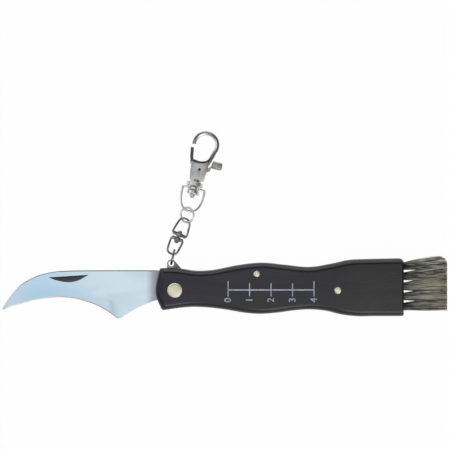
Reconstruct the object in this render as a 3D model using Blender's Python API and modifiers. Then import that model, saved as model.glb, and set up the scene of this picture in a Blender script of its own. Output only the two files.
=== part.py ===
"""Folding mushroom knife: a hooked blade between two wooden scales, a bristle brush in the handle's end,
and a short chain with a snap hook on a lug by the pivot. It lies on its back scale, blade open.

Lengths are in metres. +X runs along the handle from the blade's pivot to the brush, +Y to the knife's
back, where the chain is, and +Z up. The origin is on the pivot's axis, in the plane that the knife lies on.
"""

import itertools
import math
import random

import bmesh
import bpy
from mathutils import Matrix, Vector

# Handle: its side outline, and the stack of scales, liners and blade through its thickness.
HANDLE_LENGTH = 0.1157
HANDLE_HALF_HEIGHT = 0.0150
PIVOT_TO_FRONT = 0.0089
SCALE_THICKNESS = 0.0050
SCALE_EDGE_ROUNDING = 0.0028
LINER_THICKNESS = 0.0007
BLADE_THICKNESS = 0.0020
BLADE_SIDE_GAP = 0.0002
STACK_GAP = 0.00005
LINER_INSET = 0.00015
LINER_TO_BLOCK = 0.0020
SPRING_TO_LINER_END = 0.0005
FRONT_CORNER_RADIUS = 0.0012
END_TOP_CORNER_RADIUS = 0.0022
END_BOTTOM_CORNER_RADIUS = 0.0010
LEAST_CORNER_SHARE = 0.1
LEAST_MITRE_SHARE = 0.3
OUTLINE_STEP = 0.0050

# Each outline point is a share of the handle's length from its front, and of its half height.
HANDLE_TOP_SHARES = (
    (0.017, 0.687), (0.050, 0.700), (0.098, 0.680), (0.163, 0.609), (0.235, 0.639), (0.332, 0.785),
    (0.428, 0.860), (0.525, 0.792), (0.621, 0.727), (0.718, 0.845), (0.782, 0.950), (0.879, 0.980),
    (1.000, 1.000),
)
HANDLE_BOTTOM_SHARES = (
    (1.000, -0.803), (0.879, -0.804), (0.815, -0.810), (0.750, -0.757), (0.686, -0.639),
    (0.621, -0.596), (0.557, -0.627), (0.493, -0.693), (0.428, -0.733), (0.364, -0.705),
    (0.267, -0.584), (0.179, -0.521), (0.114, -0.534), (0.026, -0.627),
)
HANDLE_FRONT_SHARES = (
    (0.026, -0.627), (0.008, -0.320), (0.000, -0.033), (0.005, 0.280), (0.017, 0.687),
)

# Pivot rivet and the two plain pins. A pin's place is a share of the spring's length from the handle's
# front, as it passes through the spring, and of the handle's half height.
PIVOT_RADIUS = 0.00175
PIVOT_HEAD_RADIUS = 0.0035
PIVOT_HEAD_THICKNESS = 0.0012
PIVOT_DOME = 0.00045
PIVOT_CLEARANCE = 0.00007
PIN_SEAT_CLEARANCE = 0.00005
SPRING_PIN_RADIUS = 0.00145
SPRING_PIN_SHARES = (0.487, 0.517)
TAIL_PIN_RADIUS = 0.0016
TAIL_PIN_SHARES = (0.878, 0.0)
PIN_DOME = 0.00015

# Lug on each liner that carries the chain: its place along the handle and its rise above the handle's top.
LUG_WALL = 0.0007
LUG_HOLE_CLEARANCE = 0.00075
LUG_X = -0.00168
LUG_RISE = 0.0020
LUG_SLOPE_ANGLE = math.radians(41.6)

# Blade: its outline points are shares of its reach from the pivot and of its spine's height.
BLADE_REACH = 0.0807
SPINE_HEIGHT = 0.0093
BLADE_STATIONS = 36
BLADE_CURVE_STEP = 0.0010
SPINE_SHARES = (
    (0.108, 1.000), (0.372, 1.000), (0.566, 0.990), (0.659, 0.962), (0.705, 0.922), (0.751, 0.842),
    (0.798, 0.724), (0.844, 0.531), (0.890, 0.283), (0.936, -0.134), (0.983, -0.687), (1.000, -0.955),
)
EDGE_SHARES = (
    (0.108, -0.495), (0.151, -0.637), (0.197, -0.798), (0.244, -1.018), (0.290, -1.272),
    (0.308, -1.375), (0.322, -1.412), (0.338, -1.375), (0.382, -1.098), (0.429, -0.856), (0.475, -0.676),
    (0.520, -0.547), (0.566, -0.440), (0.613, -0.383), (0.659, -0.353), (0.705, -0.370),
    (0.751, -0.413), (0.798, -0.478), (0.844, -0.577), (0.890, -0.682), (0.936, -0.792),
    (0.983, -0.953), (0.999, -0.985),
)
EDGE_THICKNESS_SHARE = 0.10
TIP_THICKNESS_SHARE = 0.35
GRIND_START_SHARE = 0.23
GRIND_FULL_SHARE = 0.30
GRIND_LINE_SHARE = 0.30
SHOULDER_X = -0.0049
TANG_FLAT = 0.0055
TANG_CORNER_RISE = 0.0009
TANG_FLAT_ANGLES = (math.radians(-80), 0.0, math.radians(90))
TANG_CORNER_STEPS = 3
NICK_LENGTH = 0.0187
NICK_HEIGHT = 0.0028
NICK_DEPTH = 0.0006
NICK_X = -0.0498
NICK_Y = 0.0066
NICK_ANGLE = math.radians(3.7)
NICK_CUTTER_SIDES = 224

# Back spring, in shares of its length from the front and of the half height. Its top is the handle's.
SPRING_TO_SHOULDER = 0.0002
SPRING_TO_TANG = 0.0001
SPRING_LOWER_SHARES = (
    (0.955, -0.770), (0.955, -0.260), (0.933, -0.225), (0.878, -0.235), (0.838, -0.120),
    (0.784, 0.170), (0.718, 0.400), (0.634, 0.520), (0.556, 0.500), (0.522, 0.360), (0.485, 0.320),
    (0.451, 0.350), (0.431, 0.560), (0.395, 0.607), (0.335, 0.573), (0.269, 0.467), (0.175, 0.410),
)

# Brush: the wooden block in the handle's end and the bristle tufts in its holes.
BLOCK_LENGTH = 0.0165
BLOCK_BOTTOM_WALL = 0.00205
BLOCK_TOP_WALL = 0.0016
BLOCK_SIDE_WALL = 0.0020
BLOCK_CLEARANCE = 0.00015
TUFT_TO_BLOCK_EDGE = 0.0023
TUFT_TO_BLOCK_SIDE = 0.00245
TUFT_LEAST_SPACING = 0.0040
TUFT_RADIUS = 0.0016
TUFT_HOLE_CLEARANCE = 0.0001
TUFT_HOLE_DEPTH = 0.0095
TUFT_HOLE_SIDES = 16
TUFT_PLUG_PROUD = 0.0003
BRISTLE_LENGTH = 0.0202
BRISTLE_WIDTH = 0.00034
BRISTLE_TIP_SHARE = 0.80
BRISTLES_ACROSS = 5
BRISTLES_UP = 6
BRISTLE_ROOT_GAP = 0.00005
BRUSH_TIP_BELOW = 0.0016
BRUSH_TIP_ABOVE = 0.0047
BRUSH_SIDE_MARGIN = 0.0006
BRUSH_CORNER_HEIGHT = 0.0033
BRUSH_CORNER_CUT = 0.0034
BEND_AT_SHARE = 0.30
BEND_SPREAD_SHARE = 0.78
BRISTLE_JITTER = 0.00022
BRISTLE_LENGTH_JITTER = 0.0008
BRISTLE_SEED = 7

# Chain: an ear ring in the lugs, a swivel of two loops on a rivet, a plain ring and the hook's bail.
EAR_RING_RADIUS = 0.00335
EAR_RING_WIRE = 0.00055
EAR_RING_YAW = math.radians(13.1)
EAR_RING_HANG = 0.0002
RING_STEPS = 28
LOOP_WIRE = 0.00050
SWIVEL_LENGTH = 0.0178
SWIVEL_YAW = math.radians(23.4)
SWIVEL_PITCH = math.radians(-5.0)
SWIVEL_UPPER_ROLL = math.radians(-16)
LOWER_BAR_AT = 0.0075
BAR_GAP = 0.0003
BAR_HALF_THICKNESS = 0.00095
BAR_BOSS_RADIUS = 0.0015
BAR_PLATE_SHARE = 0.86
BAR_PLATE_HALF_THICKNESS = 0.0008
BAR_PLATE_HALF_DEPTH = 0.0008
LOWER_HALF_WIDTH = 0.0032
UPPER_HALF_WIDTH = 0.0037
SWIVEL_RIVET_RADIUS = 0.00065
SWIVEL_RIVET_CLEARANCE = 0.00007
SWIVEL_HEAD_RADIUS = 0.00115
SWIVEL_HEAD_THICKNESS = 0.0010
SWIVEL_HEAD_GAP = 0.00012
CHAIN_RING_RADIUS = 0.0035
CHAIN_RING_WIRE = 0.00050
CHAIN_LINE_YAW = math.radians(15)
CHAIN_LINE_PITCH = math.radians(14)
CHAIN_RING_YAW = math.radians(26)
CHAIN_RING_ROLL = math.radians(28)
BAIL_WIRE = 0.00055
BAIL_LENGTH = 0.0110
BAIL_HALF_WIDTH = 0.0055
BAIL_SEAT_ACROSS = 0.0003
BAIL_ROLL = math.radians(-16)
BAIL_BOSS_RADIUS = 0.0021
BAIL_BOSS_HALF_THICKNESS = 0.00065
HOOK_YAW = math.radians(12.5)
HOOK_PITCH = math.radians(-3.2)
HOOK_ROLL = 0.0

# Where the lower loop's end hangs in the ear ring, across, along and down from the ring's centre, and where
# a loop's end lies from the plain ring's centre, as shares of the ring's radius.
LOOP_SEAT_SHARES = (-0.355, 0.337, 0.463)
CHAIN_SEAT_SHARE = 0.557

# Shapes of the chain's loops: shares of each loop's half width and of its length to its bar.
CORNER_CUT_SHARE = 0.25
LOWER_LOOP_SHARES = ((0.0, 0.0), (0.40, 0.02), (0.70, 0.12), (0.80, 0.28), (0.92, 0.90), (0.84, 1.0))
UPPER_LOOP_SHARES = (
    (0.0, 0.0), (0.27, 0.01), (0.51, 0.06), (0.68, 0.165), (0.78, 0.30), (1.0, 0.90), (0.92, 1.0),
)
BAIL_SHARES = (
    (0.0, 0.0), (0.25, 0.014), (0.51, 0.075), (0.74, 0.20), (0.91, 0.40), (0.99, 0.65), (1.0, 0.94),
    (0.95, 1.0),
)

# Snap hook, in its own frame: x across, y along from the bail's bar, z through its thickness.
STEM_RADIUS = 0.0010
STEM_CLEARANCE = 0.00007
STEM_HEAD_RADIUS = 0.00125
STEM_HEAD_LENGTH = 0.0014
WASHER_RADIUS = 0.0030
WASHER_THICKNESS = 0.0023
SEAT_GAP = 0.00012
FLANGE_RADIUS = 0.00395
FLANGE_THICKNESS = 0.0021
NECK_RADIUS = 0.0027
NECK_SINK = 0.00034
HOOK_THICKNESS = 0.0045
HOOK_EDGE_ROUNDING = 0.0006
HOOK_WIDTH = 0.0083
HOOK_TOP = 0.0266
EYE_RADIUS = 0.0054
EYE_WIRE = 0.0010
EYE_DEPTH_SHARE = 1.35
EYE_X = 0.00103
EYE_TO_LEVER = 0.00169
EYE_START_ANGLE = math.radians(-30)
EYE_END_ANGLE = math.radians(188)
EYE_STEPS = 18
LEVER_THICKNESS = 0.0016
LEVER_SIDE_GAP = 0.00015
LEVER_PIN_RADIUS = 0.00055
LEVER_PIN_CLEARANCE = 0.00006
TAB_SINK = 0.00028
TAB_LENGTH = 0.0052
TAB_HEIGHT = 0.0037
TAB_WIDTH = 0.0042
TAB_ROUNDING = 0.0009
LEAF_THICKNESS = 0.00025
LEAF_WIDTH = 0.0014

# Places in the hook, as shares of its width across and of its height along: its body, its shank to the eye,
# its lever with its pin and thumb tab, the slot's floor and top, and the leaf spring.
LEVER_PIN_SHARES = (0.0795, 0.3402)
TAB_PLACE_SHARE = 0.470
SLOT_FLOOR_SHARE = 0.2256
SLOT_TOP_SHARE = 0.4135
HOOK_BODY_SHARES = (
    (-0.37, 0.145), (0.46, 0.145), (0.52, 0.430), (0.47, 0.545), (0.29, 0.505), (0.10, 0.487),
    (-0.10, 0.485), (-0.28, 0.497), (-0.46, 0.485), (-0.44, 0.300),
)
SHANK_SHARES = ((0.36, 0.385), (0.46, 0.470), (0.60, 0.580))
LEVER_SHARES = (
    (-0.10, 0.300), (0.22, 0.300), (0.42, 0.305), (0.66, 0.345), (0.72, 0.420), (0.68, 0.440),
    (0.57, 0.405), (0.28, 0.385), (0.08, 0.398), (-0.14, 0.395), (-0.33, 0.440), (-0.43, 0.560),
    (-0.49, 0.700), (-0.67, 0.700), (-0.60, 0.540), (-0.50, 0.425), (-0.34, 0.350),
)
LEAF_SHARES = ((0.40, 0.252), (-0.10, 0.246), (-0.20, 0.262), (-0.08, 0.276), (0.40, 0.288))

CUTTER_OVERRUN = 0.003
ROUND_SIDES = 32
SMALL_ROUND_SIDES = 20
SMOOTH_ANGLE = math.radians(35)
EDGE_ANGLE = math.radians(40)
WELD = 0.000001
SCREW_MERGE = 0.00001

HANDLE_THICKNESS = 2 * (SCALE_THICKNESS + STACK_GAP + LINER_THICKNESS + BLADE_SIDE_GAP) + BLADE_THICKNESS
MID_PLANE = HANDLE_THICKNESS / 2
HANDLE_END = HANDLE_LENGTH - PIVOT_TO_FRONT
LINER_LENGTH = HANDLE_LENGTH - BLOCK_LENGTH - LINER_TO_BLOCK
SPRING_LENGTH = LINER_LENGTH - SPRING_TO_LINER_END
BLADE_TOP = MID_PLANE + BLADE_THICKNESS / 2
LINER_INNER = BLADE_THICKNESS / 2 + BLADE_SIDE_GAP
LINER_OUTER = LINER_INNER + LINER_THICKNESS
LUG_HOLE_RADIUS = EAR_RING_WIRE + LUG_HOLE_CLEARANCE
LUG_RADIUS = LUG_HOLE_RADIUS + LUG_WALL
TANG_CORNER_RADIUS = TANG_FLAT + TANG_CORNER_RISE
BLOCK_BOTTOM = HANDLE_BOTTOM_SHARES[0][1] * HANDLE_HALF_HEIGHT + BLOCK_BOTTOM_WALL
BLOCK_TOP = HANDLE_TOP_SHARES[-1][1] * HANDLE_HALF_HEIGHT - BLOCK_TOP_WALL
BLOCK_HALF_DEPTH = MID_PLANE - BLOCK_SIDE_WALL
TAU = 2 * math.pi


def clear_scene():
    for obj in list(bpy.data.objects):
        bpy.data.objects.remove(obj, do_unlink=True)


def new_collection(name):
    collection = bpy.data.collections.new(name)
    bpy.context.scene.collection.children.link(collection)
    return collection


def new_material(name, colour, roughness, metallic):
    material = bpy.data.materials.new(name)
    material.use_nodes = True
    shader = material.node_tree.nodes["Principled BSDF"]
    shader.inputs["Base Color"].default_value = (*colour, 1.0)
    shader.inputs["Roughness"].default_value = roughness
    shader.inputs["Metallic"].default_value = metallic
    material.diffuse_color = (*colour, 1.0)
    return material


def add_object(name, data, material=None, parent=None):
    """Puts an object among the knife's parts or, without a material, among the cutters."""
    obj = bpy.data.objects.new(name, data)
    if material is None:
        CUTTERS.objects.link(obj)
        obj.hide_render = True
        obj.display_type = "WIRE"
    else:
        PARTS.objects.link(obj)
        data.materials.append(material)
    obj.parent = parent
    return obj


def mesh_of(bm, name):
    """The bmesh as a mesh, its faces pointing out and smooth except at its sharp edges."""
    bmesh.ops.recalc_face_normals(bm, faces=bm.faces)
    mesh = bpy.data.meshes.new(name)
    bm.to_mesh(mesh)
    bm.free()
    mesh.shade_smooth()
    mesh.set_sharp_from_angle(angle=SMOOTH_ANGLE)
    return mesh


def mesh_from_curve(curve, name):
    """The curve's surface as a welded mesh; the curve is removed."""
    helper = bpy.data.objects.new(name + "_curve", curve)
    bpy.context.scene.collection.objects.link(helper)
    graph = bpy.context.evaluated_depsgraph_get()
    mesh = bpy.data.meshes.new_from_object(helper.evaluated_get(graph))
    bpy.data.objects.remove(helper, do_unlink=True)
    bpy.data.curves.remove(curve)
    bm = bmesh.new()
    bm.from_mesh(mesh)
    bpy.data.meshes.remove(mesh)
    bmesh.ops.remove_doubles(bm, verts=bm.verts, dist=WELD)
    return mesh_of(bm, name)


def plate_mesh(name, outline, thickness, holes=(), middle=0.0):
    """A flat plate with its holes, from closed loops of (x, y), with its middle at this height."""
    curve = bpy.data.curves.new(name, "CURVE")
    curve.dimensions = "2D"
    curve.fill_mode = "BOTH"
    curve.extrude = thickness / 2
    for loop in (outline, *holes):
        spline = curve.splines.new("POLY")
        spline.points.add(len(loop) - 1)
        for point, (x, y) in zip(spline.points, loop):
            point.co = (x, y, 0, 1)
        spline.use_cyclic_u = True
    mesh = mesh_from_curve(curve, name)
    mesh.transform(Matrix.Translation((0, 0, middle)))
    return mesh


def wire_mesh(name, points, radius, closed, resolution=1):
    """A round wire along points; closed joins its ends, and otherwise they are capped."""
    curve = bpy.data.curves.new(name, "CURVE")
    curve.dimensions = "3D"
    curve.bevel_depth = radius
    curve.bevel_resolution = resolution
    curve.use_fill_caps = not closed
    spline = curve.splines.new("POLY")
    spline.points.add(len(points) - 1)
    for point, place in zip(spline.points, points):
        point.co = (*place, 1)
    spline.use_cyclic_u = closed
    return mesh_from_curve(curve, name)


def turned(name, profile, material=None, parent=None, sides=ROUND_SIDES):
    """A turned piece about its own Z axis, from (radius, height) pairs that run from top to bottom."""
    bm = bmesh.new()
    closed = profile[0] == profile[-1]
    points = [bm.verts.new((radius, 0, height)) for radius, height in profile[: -1 if closed else None]]
    if closed:
        points.append(points[0])
    for first, second in zip(points, points[1:]):
        bm.edges.new((first, second))
    mesh = bpy.data.meshes.new(name)
    bm.to_mesh(mesh)
    bm.free()
    obj = add_object(name, mesh, material, parent)
    screw = obj.modifiers.new("turn", "SCREW")
    screw.steps = sides
    screw.render_steps = sides
    screw.use_merge_vertices = True
    screw.merge_threshold = SCREW_MERGE
    screw.use_smooth_shade = True
    return obj


def rod(name, radius, bottom, top, x, y, material=None, parent=None, sides=ROUND_SIDES):
    """A plain cylinder along Z, as a cutter unless it has a material."""
    obj = turned(name, ((0, top), (radius, top), (radius, bottom), (0, bottom)), material, parent, sides)
    obj.location = (x, y, 0)
    return obj


def box(name, low, high, material=None, parent=None):
    """A box between two corners, as a cutter unless it has a material."""
    bm = bmesh.new()
    bmesh.ops.create_cube(bm, size=1)
    size = Vector(high) - Vector(low)
    bmesh.ops.scale(bm, vec=size, verts=bm.verts)
    bmesh.ops.translate(bm, vec=Vector(low) + size / 2, verts=bm.verts)
    return add_object(name, mesh_of(bm, name), material, parent)


def boolean(obj, operation, other):
    modifier = obj.modifiers.new(other.name, "BOOLEAN")
    modifier.operation = operation
    modifier.object = other
    modifier.solver = "EXACT"


def cut(obj, *cutters):
    for cutter in cutters:
        boolean(obj, "DIFFERENCE", cutter)


def join(obj, *others):
    for other in others:
        boolean(obj, "UNION", other)


def circle(x, y, radius, sides):
    return [
        (x + radius * math.cos(TAU * i / sides), y + radius * math.sin(TAU * i / sides))
        for i in range(sides)
    ]


def smooth_through(points, step):
    """Points on a Catmull-Rom curve through these, about a step apart, without the last one."""
    ends = [2 * points[0] - points[1], *points, 2 * points[-1] - points[-2]]
    out = []
    for before, start, end, after in zip(ends, ends[1:], ends[2:], ends[3:]):
        count = max(1, round((end - start).length / step))
        for i in range(count):
            t = i / count
            pull = (end - before) * (t - 2 * t**2 + t**3) / 2 + (after - start) * (t**3 - t**2) / 2
            out.append(start + (end - start) * (3 * t**2 - 2 * t**3) + pull)
    return out


def even_stations(points, step, count):
    """This many points at even distances along the smooth curve through the given ones."""
    fine = [*smooth_through(points, step), points[-1]]
    reach = [0.0]
    for first, second in zip(fine, fine[1:]):
        reach.append(reach[-1] + (second - first).length)
    out = []
    for i in range(count):
        target = reach[-1] * i / (count - 1)
        k = max(j for j in range(len(fine) - 1) if reach[j] <= target)
        share = (target - reach[k]) / (reach[k + 1] - reach[k])
        out.append(fine[k].lerp(fine[k + 1], min(share, 1.0)))
    return out


def handle_point(shares):
    return Vector((shares[0] * HANDLE_LENGTH - PIVOT_TO_FRONT, shares[1] * HANDLE_HALF_HEIGHT))


def spring_point(shares):
    return Vector((shares[0] * SPRING_LENGTH - PIVOT_TO_FRONT, shares[1] * HANDLE_HALF_HEIGHT))


def handle_outline():
    """The handle's side outline, anticlockwise, as (point, corner radius) pairs."""
    top = smooth_through([handle_point(s) for s in reversed(HANDLE_TOP_SHARES)], OUTLINE_STEP)
    bottom = smooth_through([handle_point(s) for s in reversed(HANDLE_BOTTOM_SHARES)], OUTLINE_STEP)
    front = smooth_through([handle_point(s) for s in reversed(HANDLE_FRONT_SHARES)], OUTLINE_STEP)
    loop = []
    for run, radius in (
        (top, END_TOP_CORNER_RADIUS),
        (front, FRONT_CORNER_RADIUS),
        (bottom, FRONT_CORNER_RADIUS),
    ):
        loop += [(point, radius if i == 0 else 0) for i, point in enumerate(run)]
    loop.append((handle_point(HANDLE_BOTTOM_SHARES[0]), END_BOTTOM_CORNER_RADIUS))
    return loop


def inset_outline(loop, distance, corner_steps=4):
    """The outline moved inwards by a distance, its corners rounded, with the same count at any distance."""
    moved = []
    for i, (point, radius) in enumerate(loop):
        before = (point - loop[i - 1][0]).normalized()
        after = (loop[(i + 1) % len(loop)][0] - point).normalized()
        inward = Vector((-before.y - after.y, before.x + after.x)).normalized()
        reach = distance / max(inward.dot(Vector((-after.y, after.x))), LEAST_MITRE_SHARE)
        moved.append((point + inward * reach, max(radius - distance, radius * LEAST_CORNER_SHARE)))
    out = []
    for i, (point, radius) in enumerate(moved):
        if radius == 0:
            out.append(point)
            continue
        back = (moved[i - 1][0] - point).normalized()
        ahead = (moved[(i + 1) % len(moved)][0] - point).normalized()
        half = back.angle(ahead) / 2
        centre = point + (back + ahead).normalized() * radius / math.sin(half)
        start = point + back * radius / math.tan(half) - centre
        turn = math.pi - 2 * half
        for k in range(corner_steps + 1):
            angle = turn * k / corner_steps
            out.append(centre + Matrix.Rotation(angle, 2) @ start)
    return out


def make_scale(name, side, material):
    """One wooden scale, its outer edge rounded. Side is 1 for the one on top and -1 for the other."""
    loop = handle_outline()
    inner = STACK_GAP
    outer = HANDLE_THICKNESS / 2
    steps = 4
    levels = [(0, inner), (0, outer - SCALE_EDGE_ROUNDING)]
    for k in range(1, steps + 1):
        angle = math.pi / 2 * k / steps
        levels.append(
            (
                SCALE_EDGE_ROUNDING * (1 - math.cos(angle)),
                outer - SCALE_EDGE_ROUNDING * (1 - math.sin(angle)),
            )
        )
    bm = bmesh.new()
    first = [(*p, MID_PLANE + side * inner) for p in inset_outline(loop, 0)]
    face = bm.faces.new([bm.verts.new(p) for p in first])
    for distance, height in levels[1:]:
        places = inset_outline(loop, distance)
        old = list(face.verts)
        made = bmesh.ops.extrude_face_region(bm, geom=[face])["geom"]
        if distance > 0 or height > levels[1][1]:
            bmesh.ops.delete(bm, geom=[face], context="FACES")
        face = next(f for f in made if isinstance(f, bmesh.types.BMFace))
        partner = {}
        for vert in face.verts:
            place = min(range(len(old)), key=lambda i: (old[i].co - vert.co).length)
            partner[vert] = place
        for vert, i in partner.items():
            vert.co = (*places[i], MID_PLANE + side * height)
        ordered = sorted(face.verts, key=lambda v: partner[v])
        bm.faces.remove(face)
        face = bm.faces.new(ordered)
    scale = add_object(name, mesh_of(bm, name), material)

    liner_side = LINER_OUTER + STACK_GAP
    far = HANDLE_HALF_HEIGHT + CUTTER_OVERRUN
    recess = box(
        name + "_liner_recess",
        (-PIVOT_TO_FRONT - CUTTER_OVERRUN, -far, -liner_side),
        (LINER_LENGTH - PIVOT_TO_FRONT, far, liner_side),
    )
    recess.location.z = MID_PLANE
    pocket_depth = BLOCK_HALF_DEPTH + BLOCK_CLEARANCE
    pocket = box(
        name + "_block_pocket",
        (HANDLE_END - BLOCK_LENGTH - BLOCK_CLEARANCE, BLOCK_BOTTOM - BLOCK_CLEARANCE, -pocket_depth),
        (HANDLE_END + CUTTER_OVERRUN, BLOCK_TOP + BLOCK_CLEARANCE, pocket_depth),
    )
    pocket.location.z = MID_PLANE
    cut(scale, recess, pocket)
    return scale


def liner_outline():
    """The handle's outline, a little inside it, as far back as the liners go and with the lug on top."""
    inner = inset_outline(handle_outline(), LINER_INSET)
    end = LINER_LENGTH - PIVOT_TO_FRONT - STACK_GAP - LINER_INSET
    slope = Vector((math.cos(LUG_SLOPE_ANGLE), math.sin(LUG_SLOPE_ANGLE)))
    middle = lug_place()
    tangent = middle + slope * LUG_RADIUS
    down = Vector((slope.y, -slope.x))
    root_y = handle_top_at(LUG_X + LUG_RADIUS) - LINER_INSET
    foot = tangent + down * (tangent.y - root_y) / -down.y
    left = LUG_X - LUG_RADIUS
    lug = [foot]
    steps = 9
    for k in range(steps + 1):
        angle = LUG_SLOPE_ANGLE + (math.pi - LUG_SLOPE_ANGLE) * k / steps
        lug.append(middle + LUG_RADIUS * Vector((math.cos(angle), math.sin(angle))))
    lug.append(Vector((left, handle_top_at(left) - LINER_INSET)))
    out = []
    for i, point in enumerate(inner):
        if point.y > 0 and left - STACK_GAP <= point.x <= foot.x + STACK_GAP:
            continue
        after = inner[(i + 1) % len(inner)]
        if point.x <= end:
            out.append(point)
        if (point.x - end) * (after.x - end) < 0:
            out.append(point.lerp(after, (end - point.x) / (after.x - point.x)))
        if point.y > 0 and point.x > foot.x and after.x < foot.x:
            out += lug
    return out


def handle_top_at(x):
    """The height of the handle's top outline at this place along it."""
    top = [*smooth_through([handle_point(s) for s in HANDLE_TOP_SHARES], OUTLINE_STEP)]
    k = max(i for i in range(len(top) - 1) if top[i].x <= x or i == 0)
    share = (x - top[k].x) / (top[k + 1].x - top[k].x)
    return top[k].y + (top[k + 1].y - top[k].y) * share


def lug_place():
    return Vector((LUG_X, handle_top_at(LUG_X) + LUG_RISE))


def pin_holes(clearance):
    return [
        circle(0, 0, PIVOT_RADIUS + clearance, ROUND_SIDES),
        circle(*spring_point(SPRING_PIN_SHARES), SPRING_PIN_RADIUS + clearance, ROUND_SIDES),
        circle(*spring_point(TAIL_PIN_SHARES), TAIL_PIN_RADIUS + clearance, ROUND_SIDES),
    ]


def make_liner(name, side, material):
    holes = [*pin_holes(PIN_SEAT_CLEARANCE), circle(*lug_place(), LUG_HOLE_RADIUS, SMALL_ROUND_SIDES)]
    middle = MID_PLANE + side * (LINER_INNER + LINER_THICKNESS / 2)
    mesh = plate_mesh(name, liner_outline(), LINER_THICKNESS, holes, middle)
    return add_object(name, mesh, material)


def make_back_spring(material):
    """The spring between the liners: its front end presses on the tang, and its tail is the end spacer."""
    inner = inset_outline(handle_outline(), LINER_INSET)
    front = SHOULDER_X + SPRING_TO_SHOULDER
    end = SPRING_LENGTH - PIVOT_TO_FRONT
    top = [p for p in inner if p.y > 0 and front < p.x < end]
    top.sort(key=lambda p: -p.x)
    outline = [Vector((end, handle_top_at(end) - LINER_INSET)), *top]
    outline.append(Vector((front, handle_top_at(front) - LINER_INSET)))
    outline.append(Vector((front, TANG_FLAT + SPRING_TO_TANG)))
    outline += [spring_point(s) for s in reversed(SPRING_LOWER_SHARES)]
    outline.append(Vector((end, SPRING_LOWER_SHARES[0][1] * HANDLE_HALF_HEIGHT)))
    thickness = 2 * (LINER_INNER - STACK_GAP)
    mesh = plate_mesh("back_spring", outline, thickness, pin_holes(PIN_SEAT_CLEARANCE)[1:], MID_PLANE)
    return add_object("back_spring", mesh, material)


def blade_point(shares):
    return Vector((-shares[0] * BLADE_REACH, shares[1] * SPINE_HEIGHT))


def tang_outline(spine_start, grind_start, edge_start):
    """The tang: flats for the spring when the blade is open, half open and closed, and round corners between."""
    points = [edge_start]
    half = math.acos(TANG_FLAT / TANG_CORNER_RADIUS)
    for k, angle in enumerate(TANG_FLAT_ANGLES):
        start = angle - half
        end = angle + half
        points.append(TANG_CORNER_RADIUS * Vector((math.cos(start), math.sin(start))))
        if k == len(TANG_FLAT_ANGLES) - 1:
            break
        following = TANG_FLAT_ANGLES[k + 1] - half
        for i in range(TANG_CORNER_STEPS):
            turn = end + (following - end) * i / TANG_CORNER_STEPS
            points.append(TANG_CORNER_RADIUS * Vector((math.cos(turn), math.sin(turn))))
    points.append(Vector((SHOULDER_X, TANG_FLAT)))
    points.append(Vector((SHOULDER_X, SPINE_HEIGHT)))
    points += [spine_start, grind_start]
    return points


def make_blade(material):
    """The blade: a tang, then sections from spine to edge that thin to the edge past the heel."""
    spine = even_stations([blade_point(s) for s in SPINE_SHARES], BLADE_CURVE_STEP, BLADE_STATIONS)
    edge = even_stations([blade_point(s) for s in EDGE_SHARES], BLADE_CURVE_STEP, BLADE_STATIONS)
    grind = [a.lerp(b, GRIND_LINE_SHARE) for a, b in zip(spine, edge)]
    half = BLADE_THICKNESS / 2
    bm = bmesh.new()
    outline = tang_outline(spine[0], grind[0], edge[0])
    base = [bm.verts.new((*p, -half)) for p in outline]
    face = bm.faces.new(base)
    made = bmesh.ops.extrude_face_region(bm, geom=[face])["geom"]
    raised = [v for v in made if isinstance(v, bmesh.types.BMVert)]
    bmesh.ops.translate(bm, vec=(0, 0, BLADE_THICKNESS), verts=raised)

    def root_faces():
        for side in bm.faces:
            where = [v.co.to_2d() for v in side.verts]
            if len(where) == 4 and all(
                min((w - p).length for p in (spine[0], grind[0], edge[0])) < WELD for w in where
            ):
                yield side

    faces = list(root_faces())
    for i in range(1, BLADE_STATIONS):
        done = i / (BLADE_STATIONS - 1)
        thinned = min(max((done - GRIND_START_SHARE) / (GRIND_FULL_SHARE - GRIND_START_SHARE), 0), 1)
        edge_half = half * (1 + (EDGE_THICKNESS_SHARE - 1) * thinned)
        spine_half = half * (1 + (TIP_THICKNESS_SHARE - 1) * max(done - GRIND_LINE_SHARE, 0) ** 2)
        targets = (
            (spine[i - 1], spine[i], spine_half),
            (grind[i - 1], grind[i], spine_half),
            (edge[i - 1], edge[i], edge_half),
        )
        made = bmesh.ops.extrude_face_region(bm, geom=faces)["geom"]
        bmesh.ops.delete(bm, geom=faces, context="FACES")
        faces = [f for f in made if isinstance(f, bmesh.types.BMFace)]
        for vert in (v for v in made if isinstance(v, bmesh.types.BMVert)):
            here = vert.co.to_2d()
            _, place, thickness = min(targets, key=lambda t: (t[0] - here).length)
            vert.co = (*place, math.copysign(thickness, vert.co.z))
    blade = add_object("blade", mesh_of(bm, "blade"), material)
    blade.location.z = MID_PLANE

    hole = rod("blade_pivot_hole", PIVOT_RADIUS + PIVOT_CLEARANCE, -CUTTER_OVERRUN, CUTTER_OVERRUN, 0, 0)
    hole.location.z = MID_PLANE
    disc_radius = ((NICK_LENGTH / 2) ** 2 + NICK_DEPTH**2) / (2 * NICK_DEPTH)
    slope = NICK_DEPTH / NICK_HEIGHT
    far = NICK_HEIGHT + NICK_HEIGHT
    bm = bmesh.new()
    bmesh.ops.create_cone(
        bm,
        cap_ends=True,
        segments=NICK_CUTTER_SIDES,
        radius1=disc_radius,
        radius2=disc_radius - far * slope,
        depth=far,
    )
    bmesh.ops.translate(bm, vec=(0, 0, far / 2), verts=bm.verts)
    bmesh.ops.rotate(bm, matrix=Matrix.Rotation(math.radians(90), 3, "X"), verts=bm.verts)
    nick = add_object("blade_nick_cutter", mesh_of(bm, "blade_nick_cutter"))
    nick.rotation_euler.z = NICK_ANGLE
    nick.location = (NICK_X, NICK_Y, BLADE_TOP - NICK_DEPTH + disc_radius)
    cut(blade, hole, nick)
    return blade


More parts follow.
